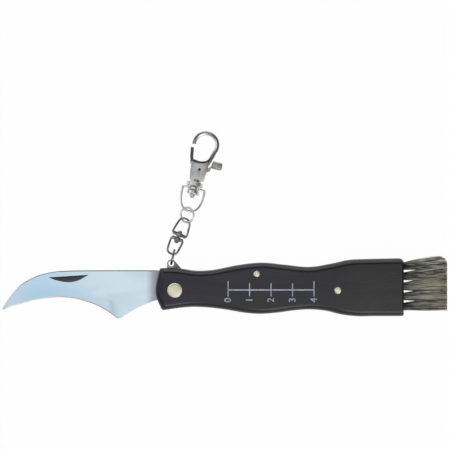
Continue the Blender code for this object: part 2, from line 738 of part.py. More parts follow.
def seat_cutter(name, shank, head, head_depth):
    """A hole through the handle for a rivet, with a counterbore for a head at each face."""
    profile = (
        (0, HANDLE_THICKNESS + CUTTER_OVERRUN),
        (head, HANDLE_THICKNESS + CUTTER_OVERRUN),
        (head, HANDLE_THICKNESS - head_depth),
        (shank, HANDLE_THICKNESS - head_depth),
        (shank, head_depth),
        (head, head_depth),
        (head, -CUTTER_OVERRUN),
        (0, -CUTTER_OVERRUN),
    )
    return turned(name, profile)


def make_pins(scales, material):
    """The pivot rivet and two pins, and their holes in the scales."""
    domed = HANDLE_THICKNESS + PIVOT_DOME
    rim = PIVOT_HEAD_RADIUS - PIVOT_DOME
    turned(
        "pivot_rivet",
        (
            (0, domed),
            (rim / 2, domed - PIVOT_DOME / 5),
            (rim, domed - PIVOT_DOME / 2),
            (PIVOT_HEAD_RADIUS, HANDLE_THICKNESS),
            (PIVOT_HEAD_RADIUS, HANDLE_THICKNESS - PIVOT_HEAD_THICKNESS),
            (PIVOT_RADIUS, HANDLE_THICKNESS - PIVOT_HEAD_THICKNESS),
            (PIVOT_RADIUS, PIVOT_HEAD_THICKNESS),
            (PIVOT_HEAD_RADIUS, PIVOT_HEAD_THICKNESS),
            (PIVOT_HEAD_RADIUS, 0),
            (0, 0),
        ),
        material,
    )
    seat = seat_cutter(
        "pivot_seat",
        PIVOT_RADIUS + PIN_SEAT_CLEARANCE,
        PIVOT_HEAD_RADIUS + PIN_SEAT_CLEARANCE,
        PIVOT_HEAD_THICKNESS + PIN_SEAT_CLEARANCE,
    )
    seats = [seat]
    for name, radius, shares in (
        ("spring_pin", SPRING_PIN_RADIUS, SPRING_PIN_SHARES),
        ("tail_pin", TAIL_PIN_RADIUS, TAIL_PIN_SHARES),
    ):
        place = spring_point(shares)
        pin = turned(
            name,
            (
                (0, HANDLE_THICKNESS + PIN_DOME),
                (radius * 3 / 5, HANDLE_THICKNESS + PIN_DOME * 2 / 3),
                (radius, HANDLE_THICKNESS),
                (radius, 0),
                (0, 0),
            ),
            material,
        )
        pin.location = (*place, 0)
        seats.append(
            rod(
                name + "_seat",
                radius + PIN_SEAT_CLEARANCE,
                -CUTTER_OVERRUN,
                HANDLE_THICKNESS + CUTTER_OVERRUN,
                *place,
            )
        )
    for scale in scales:
        cut(scale, *seats)


def even_places(low, high):
    """Places from low to high at even steps, as many as the tufts' least spacing allows."""
    count = 1 + max(0, math.floor((high - low) / TUFT_LEAST_SPACING))
    if count == 1:
        return [(low + high) / 2]
    return [low + (high - low) * i / (count - 1) for i in range(count)]


def tuft_grid():
    """The heights of the tufts' rows and the depths of their columns in the handle's end face."""
    rows = even_places(BLOCK_BOTTOM + TUFT_TO_BLOCK_EDGE, BLOCK_TOP - TUFT_TO_BLOCK_EDGE)
    reach = BLOCK_HALF_DEPTH - TUFT_TO_BLOCK_SIDE
    return rows, even_places(MID_PLANE - reach, MID_PLANE + reach)


def make_brush_block(material):
    block = box(
        "brush_block",
        (HANDLE_END - BLOCK_LENGTH, BLOCK_BOTTOM, MID_PLANE - BLOCK_HALF_DEPTH),
        (HANDLE_END, BLOCK_TOP, MID_PLANE + BLOCK_HALF_DEPTH),
        material,
    )
    bm = bmesh.new()
    rows, columns = tuft_grid()
    for y, z in itertools.product(rows, columns):
        length = TUFT_HOLE_DEPTH + CUTTER_OVERRUN
        turn = Matrix.Rotation(math.radians(90), 4, "Y")
        made = bmesh.ops.create_cone(
            bm,
            cap_ends=True,
            segments=TUFT_HOLE_SIDES,
            radius1=TUFT_RADIUS + TUFT_HOLE_CLEARANCE,
            radius2=TUFT_RADIUS + TUFT_HOLE_CLEARANCE,
            depth=length,
        )
        place = Matrix.Translation((HANDLE_END - TUFT_HOLE_DEPTH + length / 2, y, z))
        bmesh.ops.transform(bm, matrix=place @ turn, verts=made["verts"])
    cut(block, add_object("tuft_hole_cutters", mesh_of(bm, "tuft_hole_cutters")))
    return block


def bristle_tip(up_share, across_share):
    """Where a bristle ends, by its place in the whole brush's height and width."""
    rows, _ = tuft_grid()
    bottom = rows[0] - BRUSH_TIP_BELOW
    top = rows[-1] + BRUSH_TIP_ABOVE
    y = bottom + (top - bottom) * up_share
    z = BRUSH_SIDE_MARGIN + (HANDLE_THICKNESS - 2 * BRUSH_SIDE_MARGIN) * across_share
    past = max(y - top + BRUSH_CORNER_HEIGHT, 0) / BRUSH_CORNER_HEIGHT
    return Vector((HANDLE_END + BRISTLE_LENGTH - BRUSH_CORNER_CUT * past**2, y, z))


def make_tuft(name, row, column, material, chance):
    """A tuft's round root, gridded at its outer end, with a four-sided bristle grown from each cell."""
    rows, columns = tuft_grid()
    y = rows[row]
    z = columns[column]
    bm = bmesh.new()
    bmesh.ops.create_grid(bm, x_segments=BRISTLES_UP, y_segments=BRISTLES_ACROSS, size=1)
    face_x = HANDLE_END + TUFT_PLUG_PROUD
    cells = {}
    for cell in bm.faces:
        middle = cell.calc_center_median()
        cells[cell] = ((middle.x + 1) / 2, (middle.y + 1) / 2)
    for vert in bm.verts:
        u, v, _ = vert.co
        vert.co = (
            face_x,
            y + TUFT_RADIUS * u * math.sqrt(1 - v * v / 2),
            z + TUFT_RADIUS * v * math.sqrt(1 - u * u / 2),
        )
    tops = list(cells)
    made = bmesh.ops.extrude_face_region(bm, geom=tops, use_keep_orig=True)["geom"]
    plug = TUFT_HOLE_DEPTH + TUFT_PLUG_PROUD - TUFT_HOLE_CLEARANCE
    back = [v for v in made if isinstance(v, bmesh.types.BMVert)]
    bmesh.ops.translate(bm, vec=(-plug, 0, 0), verts=back)
    back_faces = [f for f in made if isinstance(f, bmesh.types.BMFace)]
    bmesh.ops.dissolve_faces(bm, faces=back_faces)
    bmesh.ops.inset_individual(bm, faces=tops, thickness=BRISTLE_ROOT_GAP)
    faces = tops
    roots = {cell: cell.calc_center_median() for cell in tops}
    ends = {}
    for cell in tops:
        up, across = cells[cell]
        tip = bristle_tip((row + up) / len(rows), (column + across) / len(columns))
        tip += Vector(
            (
                -BRISTLE_LENGTH_JITTER * chance.random(),
                BRISTLE_JITTER * chance.uniform(-1, 1),
                BRISTLE_JITTER * chance.uniform(-1, 1),
            )
        )
        root = roots[cell]
        bend = root.lerp(tip, BEND_SPREAD_SHARE)
        bend.x = root.x + (tip.x - root.x) * BEND_AT_SHARE
        ends[cell] = (bend, tip)
    order = list(tops)
    for level, share in ((0, 1.0), (1, BRISTLE_TIP_SHARE)):
        made = bmesh.ops.extrude_discrete_faces(bm, faces=faces)["faces"]
        half = BRISTLE_WIDTH * share / 2
        for cell, face in zip(order, made):
            middle = face.calc_center_median()
            target = ends[cell][level]
            for vert in face.verts:
                side = vert.co - middle
                vert.co = target + Vector((0, math.copysign(half, side.y), math.copysign(half, side.z)))
        faces = made
    return add_object(name, mesh_of(bm, name), material)


def frame(origin, yaw, pitch, roll):
    """A chain piece's frame: x across, y along it, z its normal. Yaw turns y from +Y to +X and pitch lifts it."""
    along = Vector(
        (math.sin(yaw) * math.cos(pitch), math.cos(yaw) * math.cos(pitch), math.sin(pitch))
    )
    level = Vector((math.cos(yaw), -math.sin(yaw), 0))
    normal = level.cross(along)
    across = level * math.cos(roll) + normal * math.sin(roll)
    normal = across.cross(along)
    turn = Matrix((across, along, normal)).transposed().to_4x4()
    return Matrix.Translation(origin) @ turn


def joint_empty(name, matrix):
    """An empty at a joint, on whose axis the moving piece turns."""
    empty = bpy.data.objects.new(name, None)
    PARTS.objects.link(empty)
    empty.matrix_world = matrix
    return empty


def loop_points(shares, half_width, length):
    """A closed loop from its end at y = 0 to its bar, both sides from the same shares."""
    right = [(x * half_width, y * length, 0) for x, y in shares]
    return [*right, (0, length, 0), *[(-x, y, z) for x, y, z in reversed(right[1:])]]


def smooth_loop(points):
    """The loop's corners cut round by one Chaikin pass, so that its wire bends instead of kinking."""
    out = []
    for i, point in enumerate(points):
        here = Vector(point)
        before = Vector(points[i - 1])
        after = Vector(points[(i + 1) % len(points)])
        out += [here.lerp(before, CORNER_CUT_SHARE), here.lerp(after, CORNER_CUT_SHARE)]
    return out


def along_y(obj, y=0.0):
    """Turns a piece made about Z to stand along y, its own top to +y."""
    obj.rotation_euler.x = -math.pi / 2
    obj.location.y = y
    return obj


def make_swivel_loop(name, points, half_width, bar_at, material, parent):
    """A loop of wire whose bar is a flat plate with a drilled boss in its middle."""
    loop = add_object(name, wire_mesh(name, points, LOOP_WIRE, closed=True), material, parent)
    reach = half_width * BAR_PLATE_SHARE
    plate = box(
        name + "_plate",
        (-reach, bar_at - BAR_PLATE_HALF_THICKNESS, -BAR_PLATE_HALF_DEPTH),
        (reach, bar_at + BAR_PLATE_HALF_THICKNESS, BAR_PLATE_HALF_DEPTH),
        parent=parent,
    )
    boss = along_y(
        turned(
            name + "_boss",
            (
                (0, BAR_HALF_THICKNESS),
                (BAR_BOSS_RADIUS, BAR_HALF_THICKNESS),
                (BAR_BOSS_RADIUS, -BAR_HALF_THICKNESS),
                (0, -BAR_HALF_THICKNESS),
            ),
            parent=parent,
            sides=SMALL_ROUND_SIDES,
        ),
        bar_at,
    )
    hole = along_y(
        rod(
            name + "_hole",
            SWIVEL_RIVET_RADIUS + SWIVEL_RIVET_CLEARANCE,
            -CUTTER_OVERRUN,
            CUTTER_OVERRUN,
            0,
            0,
            parent=parent,
            sides=SMALL_ROUND_SIDES,
        ),
        bar_at,
    )
    join(loop, plate, boss)
    cut(loop, hole)


def ring_mesh(name, radius, wire):
    points = [(x, y, 0) for x, y in circle(0, 0, radius, RING_STEPS)]
    return wire_mesh(name, points, wire, closed=True)


def hook_points(shares):
    return [Vector((x * HOOK_WIDTH, y * HOOK_TOP)) for x, y in shares]


def eye_middle():
    """The middle of the hook's eye, whose nose ends just past the lever's tip."""
    lever_tip = max(y for _, y in LEVER_SHARES) * HOOK_TOP
    return Vector((EYE_X, lever_tip + EYE_TO_LEVER - EYE_RADIUS * math.sin(EYE_END_ANGLE)))


def make_hook(nickel, steel, parent):
    """The snap hook's cast body with its stem and eye, the lever that closes it, its pin, leaf and washer."""
    body = add_object(
        "hook_body",
        plate_mesh("hook_body", hook_points(HOOK_BODY_SHARES), HOOK_THICKNESS),
        nickel,
        parent,
    )
    rounding = body.modifiers.new("edges", "BEVEL")
    rounding.width = HOOK_EDGE_ROUNDING
    rounding.segments = 2
    rounding.limit_method = "ANGLE"
    rounding.angle_limit = EDGE_ANGLE

    neck_to = min(y for _, y in HOOK_BODY_SHARES) * HOOK_TOP + NECK_SINK
    flange_from = BAIL_BOSS_HALF_THICKNESS + SEAT_GAP
    washer_from = -BAIL_BOSS_HALF_THICKNESS - SEAT_GAP
    washer_to = washer_from - WASHER_THICKNESS
    head_from = washer_to - SEAT_GAP
    edge = FLANGE_THICKNESS / 5
    stem = along_y(
        turned(
            "hook_stem",
            (
                (0, neck_to),
                (NECK_RADIUS, neck_to),
                (NECK_RADIUS, flange_from + FLANGE_THICKNESS),
                (FLANGE_RADIUS - edge, flange_from + FLANGE_THICKNESS),
                (FLANGE_RADIUS, flange_from + FLANGE_THICKNESS - edge),
                (FLANGE_RADIUS, flange_from + edge),
                (FLANGE_RADIUS - edge, flange_from),
                (STEM_RADIUS, flange_from),
                (STEM_RADIUS, head_from),
                (STEM_HEAD_RADIUS, head_from),
                (STEM_HEAD_RADIUS, head_from - STEM_HEAD_LENGTH / 2),
                (STEM_HEAD_RADIUS * 2 / 3, head_from - STEM_HEAD_LENGTH),
                (0, head_from - STEM_HEAD_LENGTH),
            ),
            parent=parent,
            sides=ROUND_SIDES,
        )
    )
    shank = hook_points(SHANK_SHARES)
    path = [Vector((*p, 0)) for p in shank]
    middle = eye_middle()
    for k in range(EYE_STEPS + 1):
        angle = EYE_START_ANGLE + (EYE_END_ANGLE - EYE_START_ANGLE) * k / EYE_STEPS
        path.append((middle + EYE_RADIUS * Vector((math.cos(angle), math.sin(angle)))).to_3d())
    eye_mesh = wire_mesh("hook_eye", path, EYE_WIRE, closed=False, resolution=2)
    eye_mesh.transform(Matrix.Diagonal((1, 1, EYE_DEPTH_SHARE, 1)))
    eye = add_object("hook_eye", eye_mesh, parent=parent)
    join(body, stem, eye)

    slot_half = LEVER_THICKNESS / 2 + LEVER_SIDE_GAP
    far = HOOK_WIDTH
    floor = SLOT_FLOOR_SHARE * HOOK_TOP
    (pin,) = hook_points([LEVER_PIN_SHARES])
    open_slot = box(
        "hook_slot_open", (-far, floor, -slot_half), (pin.x, middle.y - EYE_RADIUS, slot_half), parent=parent
    )
    side_slot = box(
        "hook_slot_side", (0, floor, -slot_half), (far, SLOT_TOP_SHARE * HOOK_TOP, slot_half), parent=parent
    )
    pin_hole = rod(
        "hook_pin_hole",
        LEVER_PIN_RADIUS + LEVER_PIN_CLEARANCE,
        -CUTTER_OVERRUN,
        CUTTER_OVERRUN,
        *pin,
        parent=parent,
        sides=SMALL_ROUND_SIDES,
    )
    cut(body, open_slot, side_slot, pin_hole)

    washer = turned(
        "swivel_washer",
        (
            (STEM_RADIUS + STEM_CLEARANCE, washer_from),
            (WASHER_RADIUS - edge, washer_from),
            (WASHER_RADIUS, washer_from - edge),
            (WASHER_RADIUS, washer_to + edge),
            (WASHER_RADIUS - edge, washer_to),
            (STEM_RADIUS + STEM_CLEARANCE, washer_to),
            (STEM_RADIUS + STEM_CLEARANCE, washer_from),
        ),
        nickel,
        parent,
    )
    along_y(washer)

    lever_joint = joint_empty("hook_lever_joint", HOOK_FRAME @ Matrix.Translation((*pin, 0)))
    lever_outline = [p - pin for p in hook_points(LEVER_SHARES)]
    hole = circle(0, 0, LEVER_PIN_RADIUS + LEVER_PIN_CLEARANCE, SMALL_ROUND_SIDES)
    lever = add_object(
        "hook_lever",
        plate_mesh("hook_lever", lever_outline, LEVER_THICKNESS, [hole]),
        nickel,
        lever_joint,
    )
    arm_end = max(p.x for p in lever_outline)
    tab_middle = TAB_PLACE_SHARE * HOOK_TOP - pin.y
    tab = box(
        "hook_thumb_tab",
        (arm_end - TAB_SINK, tab_middle - TAB_HEIGHT / 2, -TAB_WIDTH / 2),
        (arm_end - TAB_SINK + TAB_LENGTH, tab_middle + TAB_HEIGHT / 2, TAB_WIDTH / 2),
        parent=lever_joint,
    )
    tab_rounding = tab.modifiers.new("edges", "BEVEL")
    tab_rounding.width = TAB_ROUNDING
    tab_rounding.segments = 3
    join(lever, tab)
    rod(
        "lever_pin",
        LEVER_PIN_RADIUS,
        -HOOK_THICKNESS / 2,
        HOOK_THICKNESS / 2,
        *pin,
        steel,
        parent,
        sides=SMALL_ROUND_SIDES,
    )
    make_leaf(steel, parent)


def make_leaf(material, parent):
    """The lever's leaf spring: a strip bent back on itself on the slot's floor, under the lever's arm."""
    points = hook_points(LEAF_SHARES)
    line = [*smooth_through(points, LEAF_WIDTH), points[-1]]
    left = []
    right = []
    for i, point in enumerate(line):
        ahead = (line[min(i + 1, len(line) - 1)] - line[max(i - 1, 0)]).normalized()
        side = Vector((-ahead.y, ahead.x)) * LEAF_THICKNESS / 2
        left.append(point + side)
        right.append(point - side)
    outline = [*left, *reversed(right)]
    add_object("lever_spring", plate_mesh("lever_spring", outline, LEAF_WIDTH), material, parent)


def make_chain(nickel, steel):
    """The chain from the lugs to the hook, each piece in its own frame."""
    ear_frame = frame((*lug_place(), MID_PLANE), EAR_RING_YAW, 0, math.pi / 2)
    ear_joint = joint_empty("ear_ring_joint", ear_frame)
    ear = add_object("ear_ring", ring_mesh("ear_ring", EAR_RING_RADIUS, EAR_RING_WIRE), nickel, ear_joint)
    ear.location.y = EAR_RING_RADIUS - EAR_RING_HANG

    centre = ear_frame @ ear.location
    along = ear_frame.to_3x3() @ Vector((0, 1, 0))
    across_seat, along_seat, down_seat = (share * EAR_RING_RADIUS for share in LOOP_SEAT_SHARES)
    lower_end = centre + along * along_seat - Vector((0, 0, down_seat))
    lower_end = frame(lower_end, SWIVEL_YAW, SWIVEL_PITCH, 0) @ Vector((across_seat, 0, 0))
    lower_frame = frame(lower_end, SWIVEL_YAW, SWIVEL_PITCH, 0)
    lower_joint = joint_empty("swivel_lower_joint", lower_frame)
    lower_points = smooth_loop(loop_points(LOWER_LOOP_SHARES, LOWER_HALF_WIDTH, LOWER_BAR_AT))
    make_swivel_loop(
        "swivel_lower_loop", lower_points, LOWER_HALF_WIDTH, LOWER_BAR_AT, nickel, lower_joint
    )

    upper_bar = LOWER_BAR_AT + 2 * BAR_HALF_THICKNESS + BAR_GAP
    upper_frame = frame(lower_end, SWIVEL_YAW, SWIVEL_PITCH, SWIVEL_UPPER_ROLL)
    upper_joint = joint_empty("swivel_upper_joint", upper_frame)
    upper_points = [
        (x, SWIVEL_LENGTH - y, z)
        for x, y, z in smooth_loop(
            loop_points(UPPER_LOOP_SHARES, UPPER_HALF_WIDTH, SWIVEL_LENGTH - upper_bar)
        )
    ]
    make_swivel_loop("swivel_upper_loop", upper_points, UPPER_HALF_WIDTH, upper_bar, nickel, upper_joint)

    low = LOWER_BAR_AT - BAR_HALF_THICKNESS - SWIVEL_HEAD_GAP
    high = upper_bar + BAR_HALF_THICKNESS + SWIVEL_HEAD_GAP
    rivet = turned(
        "swivel_rivet",
        (
            (0, high + SWIVEL_HEAD_THICKNESS),
            (SWIVEL_HEAD_RADIUS / 2, high + SWIVEL_HEAD_THICKNESS * 4 / 5),
            (SWIVEL_HEAD_RADIUS, high + SWIVEL_HEAD_THICKNESS / 4),
            (SWIVEL_HEAD_RADIUS, high),
            (SWIVEL_RIVET_RADIUS, high),
            (SWIVEL_RIVET_RADIUS, low),
            (SWIVEL_HEAD_RADIUS, low),
            (SWIVEL_HEAD_RADIUS, low - SWIVEL_HEAD_THICKNESS / 2),
            (SWIVEL_HEAD_RADIUS / 2, low - SWIVEL_HEAD_THICKNESS),
            (0, low - SWIVEL_HEAD_THICKNESS),
        ),
        nickel,
        lower_joint,
        sides=SMALL_ROUND_SIDES,
    )
    along_y(rivet)

    upper_end = upper_frame @ Vector((0, SWIVEL_LENGTH, 0))
    line = frame(upper_end, CHAIN_LINE_YAW, CHAIN_LINE_PITCH, 0).to_3x3() @ Vector((0, 1, 0))
    chain_seat = CHAIN_SEAT_SHARE * CHAIN_RING_RADIUS
    ring_centre = upper_end + line * chain_seat
    ring_joint = joint_empty(
        "chain_ring_joint", frame(upper_end, SWIVEL_YAW, SWIVEL_PITCH, SWIVEL_UPPER_ROLL)
    )
    ring_place = frame(ring_centre, CHAIN_RING_YAW, CHAIN_LINE_PITCH, CHAIN_RING_ROLL)
    mesh = ring_mesh("chain_ring", CHAIN_RING_RADIUS, CHAIN_RING_WIRE)
    mesh.transform(ring_joint.matrix_world.inverted() @ ring_place)
    add_object("chain_ring", mesh, nickel, ring_joint)

    bail_end = ring_centre + line * chain_seat
    bail_frame = frame(bail_end, HOOK_YAW, HOOK_PITCH, BAIL_ROLL)
    bail_frame = bail_frame @ Matrix.Translation((BAIL_SEAT_ACROSS, 0, 0))
    bail_joint = joint_empty("hook_bail_joint", bail_frame)
    bail_points = smooth_loop(loop_points(BAIL_SHARES, BAIL_HALF_WIDTH, BAIL_LENGTH))
    bail = add_object(
        "hook_bail", wire_mesh("hook_bail", bail_points, BAIL_WIRE, closed=True), nickel, bail_joint
    )
    boss_half = BAIL_BOSS_HALF_THICKNESS
    boss = turned(
        "hook_bail_boss",
        ((0, boss_half), (BAIL_BOSS_RADIUS, boss_half), (BAIL_BOSS_RADIUS, -boss_half), (0, -boss_half)),
        parent=bail_joint,
    )
    hole = rod(
        "hook_bail_hole",
        STEM_RADIUS + STEM_CLEARANCE,
        -CUTTER_OVERRUN,
        CUTTER_OVERRUN,
        0,
        0,
        parent=bail_joint,
    )
    join(bail, along_y(boss, BAIL_LENGTH))
    cut(bail, along_y(hole, BAIL_LENGTH))
    return bail_frame


clear_scene()
PARTS = new_collection("mushroom_knife")
CUTTERS = new_collection("cutters")

WOOD = new_material("dark wood", (0.045, 0.040, 0.042), 0.45, 0.0)
STEEL = new_material("polished steel", (0.74, 0.77, 0.80), 0.18, 1.0)
BRASS = new_material("brass", (0.80, 0.70, 0.46), 0.25, 1.0)
NICKEL = new_material("nickel plate", (0.72, 0.72, 0.72), 0.15, 1.0)
BRISTLE = new_material("bristle", (0.30, 0.28, 0.23), 0.80, 0.0)

SCALES = (make_scale("front_scale", 1, WOOD), make_scale("back_scale", -1, WOOD))
make_liner("front_liner", 1, STEEL)
make_liner("back_liner", -1, STEEL)
make_back_spring(STEEL)
make_blade(STEEL)
make_pins(SCALES, BRASS)
make_brush_block(WOOD)
CHANCE = random.Random(BRISTLE_SEED)
TUFT_PLACES = itertools.product(*(range(len(line)) for line in tuft_grid()))
for number, (row, column) in enumerate(TUFT_PLACES, 1):
    make_tuft(f"bristle_tuft_{number}", row, column, BRISTLE, CHANCE)
BAIL_FRAME = make_chain(NICKEL, STEEL)
HOOK_FRAME = frame(BAIL_FRAME @ Vector((0, BAIL_LENGTH, 0)), HOOK_YAW, HOOK_PITCH, HOOK_ROLL)
make_hook(NICKEL, STEEL, joint_empty("hook_joint", HOOK_FRAME))
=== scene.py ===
"""Looks of the folding mushroom knife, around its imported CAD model.

Materials, the ruler's print, fine bristles, smoothly rounded wood, blade and wire, a white floor, soft light
and the photograph's camera. Lengths are in metres, in the CAD model's frame: +X to the brush, +Y to the
chain, +Z towards the camera.
"""

import random
from math import atan2, copysign, cos, pi, radians, sin, sqrt, tan, tau

import bmesh
import bpy
from mathutils import Matrix, Vector, noise


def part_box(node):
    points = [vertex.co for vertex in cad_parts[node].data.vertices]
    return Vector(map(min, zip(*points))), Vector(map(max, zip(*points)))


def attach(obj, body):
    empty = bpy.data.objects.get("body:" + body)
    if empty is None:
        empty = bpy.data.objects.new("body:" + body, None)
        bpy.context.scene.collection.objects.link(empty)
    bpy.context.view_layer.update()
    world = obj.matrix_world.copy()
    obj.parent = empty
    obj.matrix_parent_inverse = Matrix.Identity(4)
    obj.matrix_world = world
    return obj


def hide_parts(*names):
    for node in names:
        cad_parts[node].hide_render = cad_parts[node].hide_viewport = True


# The photograph: its width in the plane of the handle's face, and the point at its middle.
PHOTO_WIDTH = 0.2091
PHOTO_MIDDLE = (0.02319, 0.03069)
CAMERA_LENS = 400.0
CAMERA_SENSOR = 36.0

# Handle: the CAD model's outline, drawn in finer steps.
HANDLE_LENGTH = 0.1157
HANDLE_HALF_HEIGHT = 0.015
PIVOT_TO_FRONT = 0.0089
HANDLE_THICKNESS = 0.0139
MID_PLANE = HANDLE_THICKNESS / 2
HANDLE_END = HANDLE_LENGTH - PIVOT_TO_FRONT
SCALE_GAP = 0.00005
SCALE_EDGE_ROUNDING = 0.0031
SCALE_FACE_BAND = 0.0004
END_ROUNDING_SHARE = 0.3
END_SQUARE_REACH = 0.007
FRONT_CORNER_RADIUS = 0.0012
END_TOP_CORNER_RADIUS = 0.0022
END_BOTTOM_CORNER_RADIUS = 0.001
CORNER_CLEAR = 0.0034
LEAST_CORNER_SHARE = 0.1
LEAST_MITRE_SHARE = 0.3
OUTLINE_STEP = 0.0014
ROUNDING_STEPS = 9
CORNER_STEPS = 7
HANDLE_TOP_SHARES = (
    (0.017, 0.687), (0.05, 0.7), (0.098, 0.68), (0.163, 0.609), (0.235, 0.639), (0.332, 0.785),
    (0.428, 0.86), (0.525, 0.792), (0.621, 0.727), (0.718, 0.845), (0.782, 0.95), (0.879, 0.98),
    (1.0, 1.0),
)
HANDLE_BOTTOM_SHARES = (
    (1.0, -0.803), (0.879, -0.804), (0.815, -0.81), (0.75, -0.757), (0.686, -0.639),
    (0.621, -0.596), (0.557, -0.627), (0.493, -0.693), (0.428, -0.733), (0.364, -0.705),
    (0.267, -0.584), (0.179, -0.521), (0.114, -0.534), (0.026, -0.627),
)
HANDLE_FRONT_SHARES = (
    (0.026, -0.627), (0.008, -0.32), (0.0, -0.033), (0.005, 0.28), (0.017, 0.687),
)

# What the scales are cut out for: the liners, and the brush's block and pins with their clearances.
LINER_LENGTH = 0.0972
LINER_SPACE_HALF = 0.0019
BLOCK_CLEARANCE = 0.00015
SEAT_CLEARANCE = 0.00005

# Rivet heads: how far they stand out, and their profiles as shares of the radius and of that height.
PIVOT_DOME = 0.00045
PIN_DOME = 0.00015
PIVOT_HEAD_SHARES = (
    (0.0, 1.0), (0.3, 0.97), (0.6, 0.86), (0.8, 0.68), (0.885, 0.52), (0.905, 0.6), (0.94, 0.66),
    (0.975, 0.5), (1.0, -0.2),
)
PIN_HEAD_SHARES = ((0.0, 1.0), (0.45, 0.85), (0.8, 0.45), (0.95, 0.05), (1.0, -0.6))

# Blade: the CAD model's outline in finer sections, its grind and its nail nick.
BLADE_REACH = 0.0807
SPINE_HEIGHT = 0.0093
BLADE_THICKNESS = 0.002
BLADE_STATIONS = 130
BLADE_CURVE_STEP = 0.0004
BLADE_SECTION_CUTS = 5
TANG_END_SHARE = 0.108
EDGE_THICKNESS_SHARE = 0.2
CUTTING_THICKNESS_SHARE = 0.03
TIP_THICKNESS_SHARE = 0.35
GRIND_SLOPE_LIMIT = 0.08
SPINE_CHAMFER = 0.00042
SPINE_CHAMFER_SLOPE = 0.42
EDGE_BEVEL = 0.00055
CHAMFER_WIDTH_SHARE = 0.08
BEVEL_WIDTH_SHARE = 0.2
CHAMFER_ROW_BELOW = 0.25
BEVEL_ROW_ABOVE = 0.75
GRIND_ROW_BELOW = 0.4
ROW_MARGIN = 0.01
BLADE_SHARP_ANGLE = radians(6)
GRIND_START_SHARE = 0.21
GRIND_FULL_SHARE = 0.33
GRIND_LINE_SHARE = 0.3
NICK_LENGTH = 0.0186
NICK_HEIGHT = 0.0044
NICK_DEPTH = 0.0008
NICK_SURFACE_DROP = 0.00007
NICK_FLOOR_STEPS = 8
NICK_X = -0.0498
NICK_Y = 0.0066
NICK_ANGLE = radians(3.7)
NICK_SIDES = 420
NICK_TOLERANCE = 0.00002
EDGE_TILT_SHARE = 0.975
SPINE_SHARES = (
    (0.108, 1.0), (0.372, 1.0), (0.566, 0.99), (0.659, 0.962), (0.705, 0.922), (0.751, 0.842),
    (0.798, 0.724), (0.844, 0.531), (0.89, 0.283), (0.936, -0.134), (0.983, -0.687), (1.0, -0.955),
)
EDGE_SHARES = (
    (0.108, -0.495), (0.151, -0.637), (0.197, -0.798), (0.244, -1.018), (0.29, -1.272),
    (0.308, -1.375), (0.322, -1.412), (0.338, -1.375), (0.382, -1.098), (0.429, -0.856), (0.475, -0.676),
    (0.52, -0.547), (0.566, -0.44), (0.613, -0.383), (0.659, -0.353), (0.705, -0.37),
    (0.751, -0.413), (0.798, -0.478), (0.844, -0.577), (0.89, -0.682), (0.936, -0.792),
    (0.983, -0.953), (0.999, -0.985),
)

# Ruler: a line with a mark every centimetre from 0 to 4, and the digits beside them.
RULER_START = 0.02487
RULER_STEP = 0.01
RULER_MARKS = 5
RULER_LINE_Y = 0.0002
RULER_LINE_WIDTH = 0.00064
RULER_MARK_WIDTH = 0.0005
RULER_MARK_LOW = -0.0028
RULER_MARK_HIGH = 0.00335
RULER_END_MARK_HIGH = 0.0042
DIGIT_Y = -0.0045
DIGIT_HEIGHT = 0.0031
DIGIT_SIZE_SHARE = 1.42
DIGIT_WEIGHT_SHARE = 0.012
INK_THICKNESS = 0.00002

# Brush: its tufts in the handle's end, as in the CAD model, with fine hairs.
TUFT_ROWS = 5
TUFT_COLUMNS = 2
TUFT_TO_BLOCK_EDGE = 0.0023
TUFT_TO_BLOCK_SIDE = 0.00245
TUFT_RADIUS = 0.0016
TUFT_ROOT_DEPTH = 0.0012
BRISTLE_LENGTH = 0.0202
BRUSH_TIP_BOTTOM = -0.0093
BRUSH_TIP_TOP = 0.0158
BRUSH_SIDE_MARGIN = 0.0006
BRUSH_CORNER_HEIGHT = 0.0033
BRUSH_CORNER_CUT = 0.0034
HAIRS_ACROSS = 21
HAIR_LEVELS = 5
HAIR_RADIUS = 0.000105
HAIR_TIP_SHARE = 0.62
HAIR_TIP_SCATTER = 0.00034
HAIR_SWAY = 0.00014
HAIR_SHORTER = 0.0008
HAIR_STRAY_SHARE = 0.1
HAIR_STRAY_SHORTER = 0.0035
HAIR_TONE_SCATTER = 0.22
HAIR_BEND_POWER = 0.95
HAIR_CLUMP = 0.00062
HAIR_SEED = 11
SPREAD_POWER = 0.8
ROW_SPREAD_SHARES = (0.6, 0.66, 0.74, 0.66, 0.58)
COLUMN_SPREAD_SHARE = 0.6

# Chain: the lug's hole, the rings, the swivel's loops and the hook's bail, as in the CAD model.
LUG_PLACE = (-0.00168, 0.01242)
EAR_RING_RADIUS = 0.00335
EAR_RING_WIRE = 0.00055
EAR_RING_YAW = radians(13.1)
EAR_RING_HANG = 0.0002
LOOP_WIRE = 0.0005
LOOP_SEAT_SHARES = (-0.355, 0.337, 0.463)
SWIVEL_LENGTH = 0.0178
SWIVEL_YAW = radians(23.4)
SWIVEL_PITCH = radians(-5)
SWIVEL_UPPER_ROLL = radians(-16)
LOWER_BAR_AT = 0.0075
BAR_GAP = 0.0003
BAR_HALF_THICKNESS = 0.00095
BAR_BOSS_RADIUS = 0.0015
BAR_PLATE_SHARE = 0.86
BAR_PLATE_HALF = 0.0008
LOWER_HALF_WIDTH = 0.0032
UPPER_HALF_WIDTH = 0.0037
CHAIN_RING_RADIUS = 0.0035
CHAIN_RING_WIRE = 0.0005
CHAIN_LINE_YAW = radians(15)
CHAIN_LINE_PITCH = radians(14)
CHAIN_SEAT_SHARE = 0.557
CHAIN_RING_YAW = radians(26)
CHAIN_RING_ROLL = radians(28)
BAIL_WIRE = 0.00055
BAIL_LENGTH = 0.011
BAIL_HALF_WIDTH = 0.0055
BAIL_SEAT_ACROSS = 0.0003
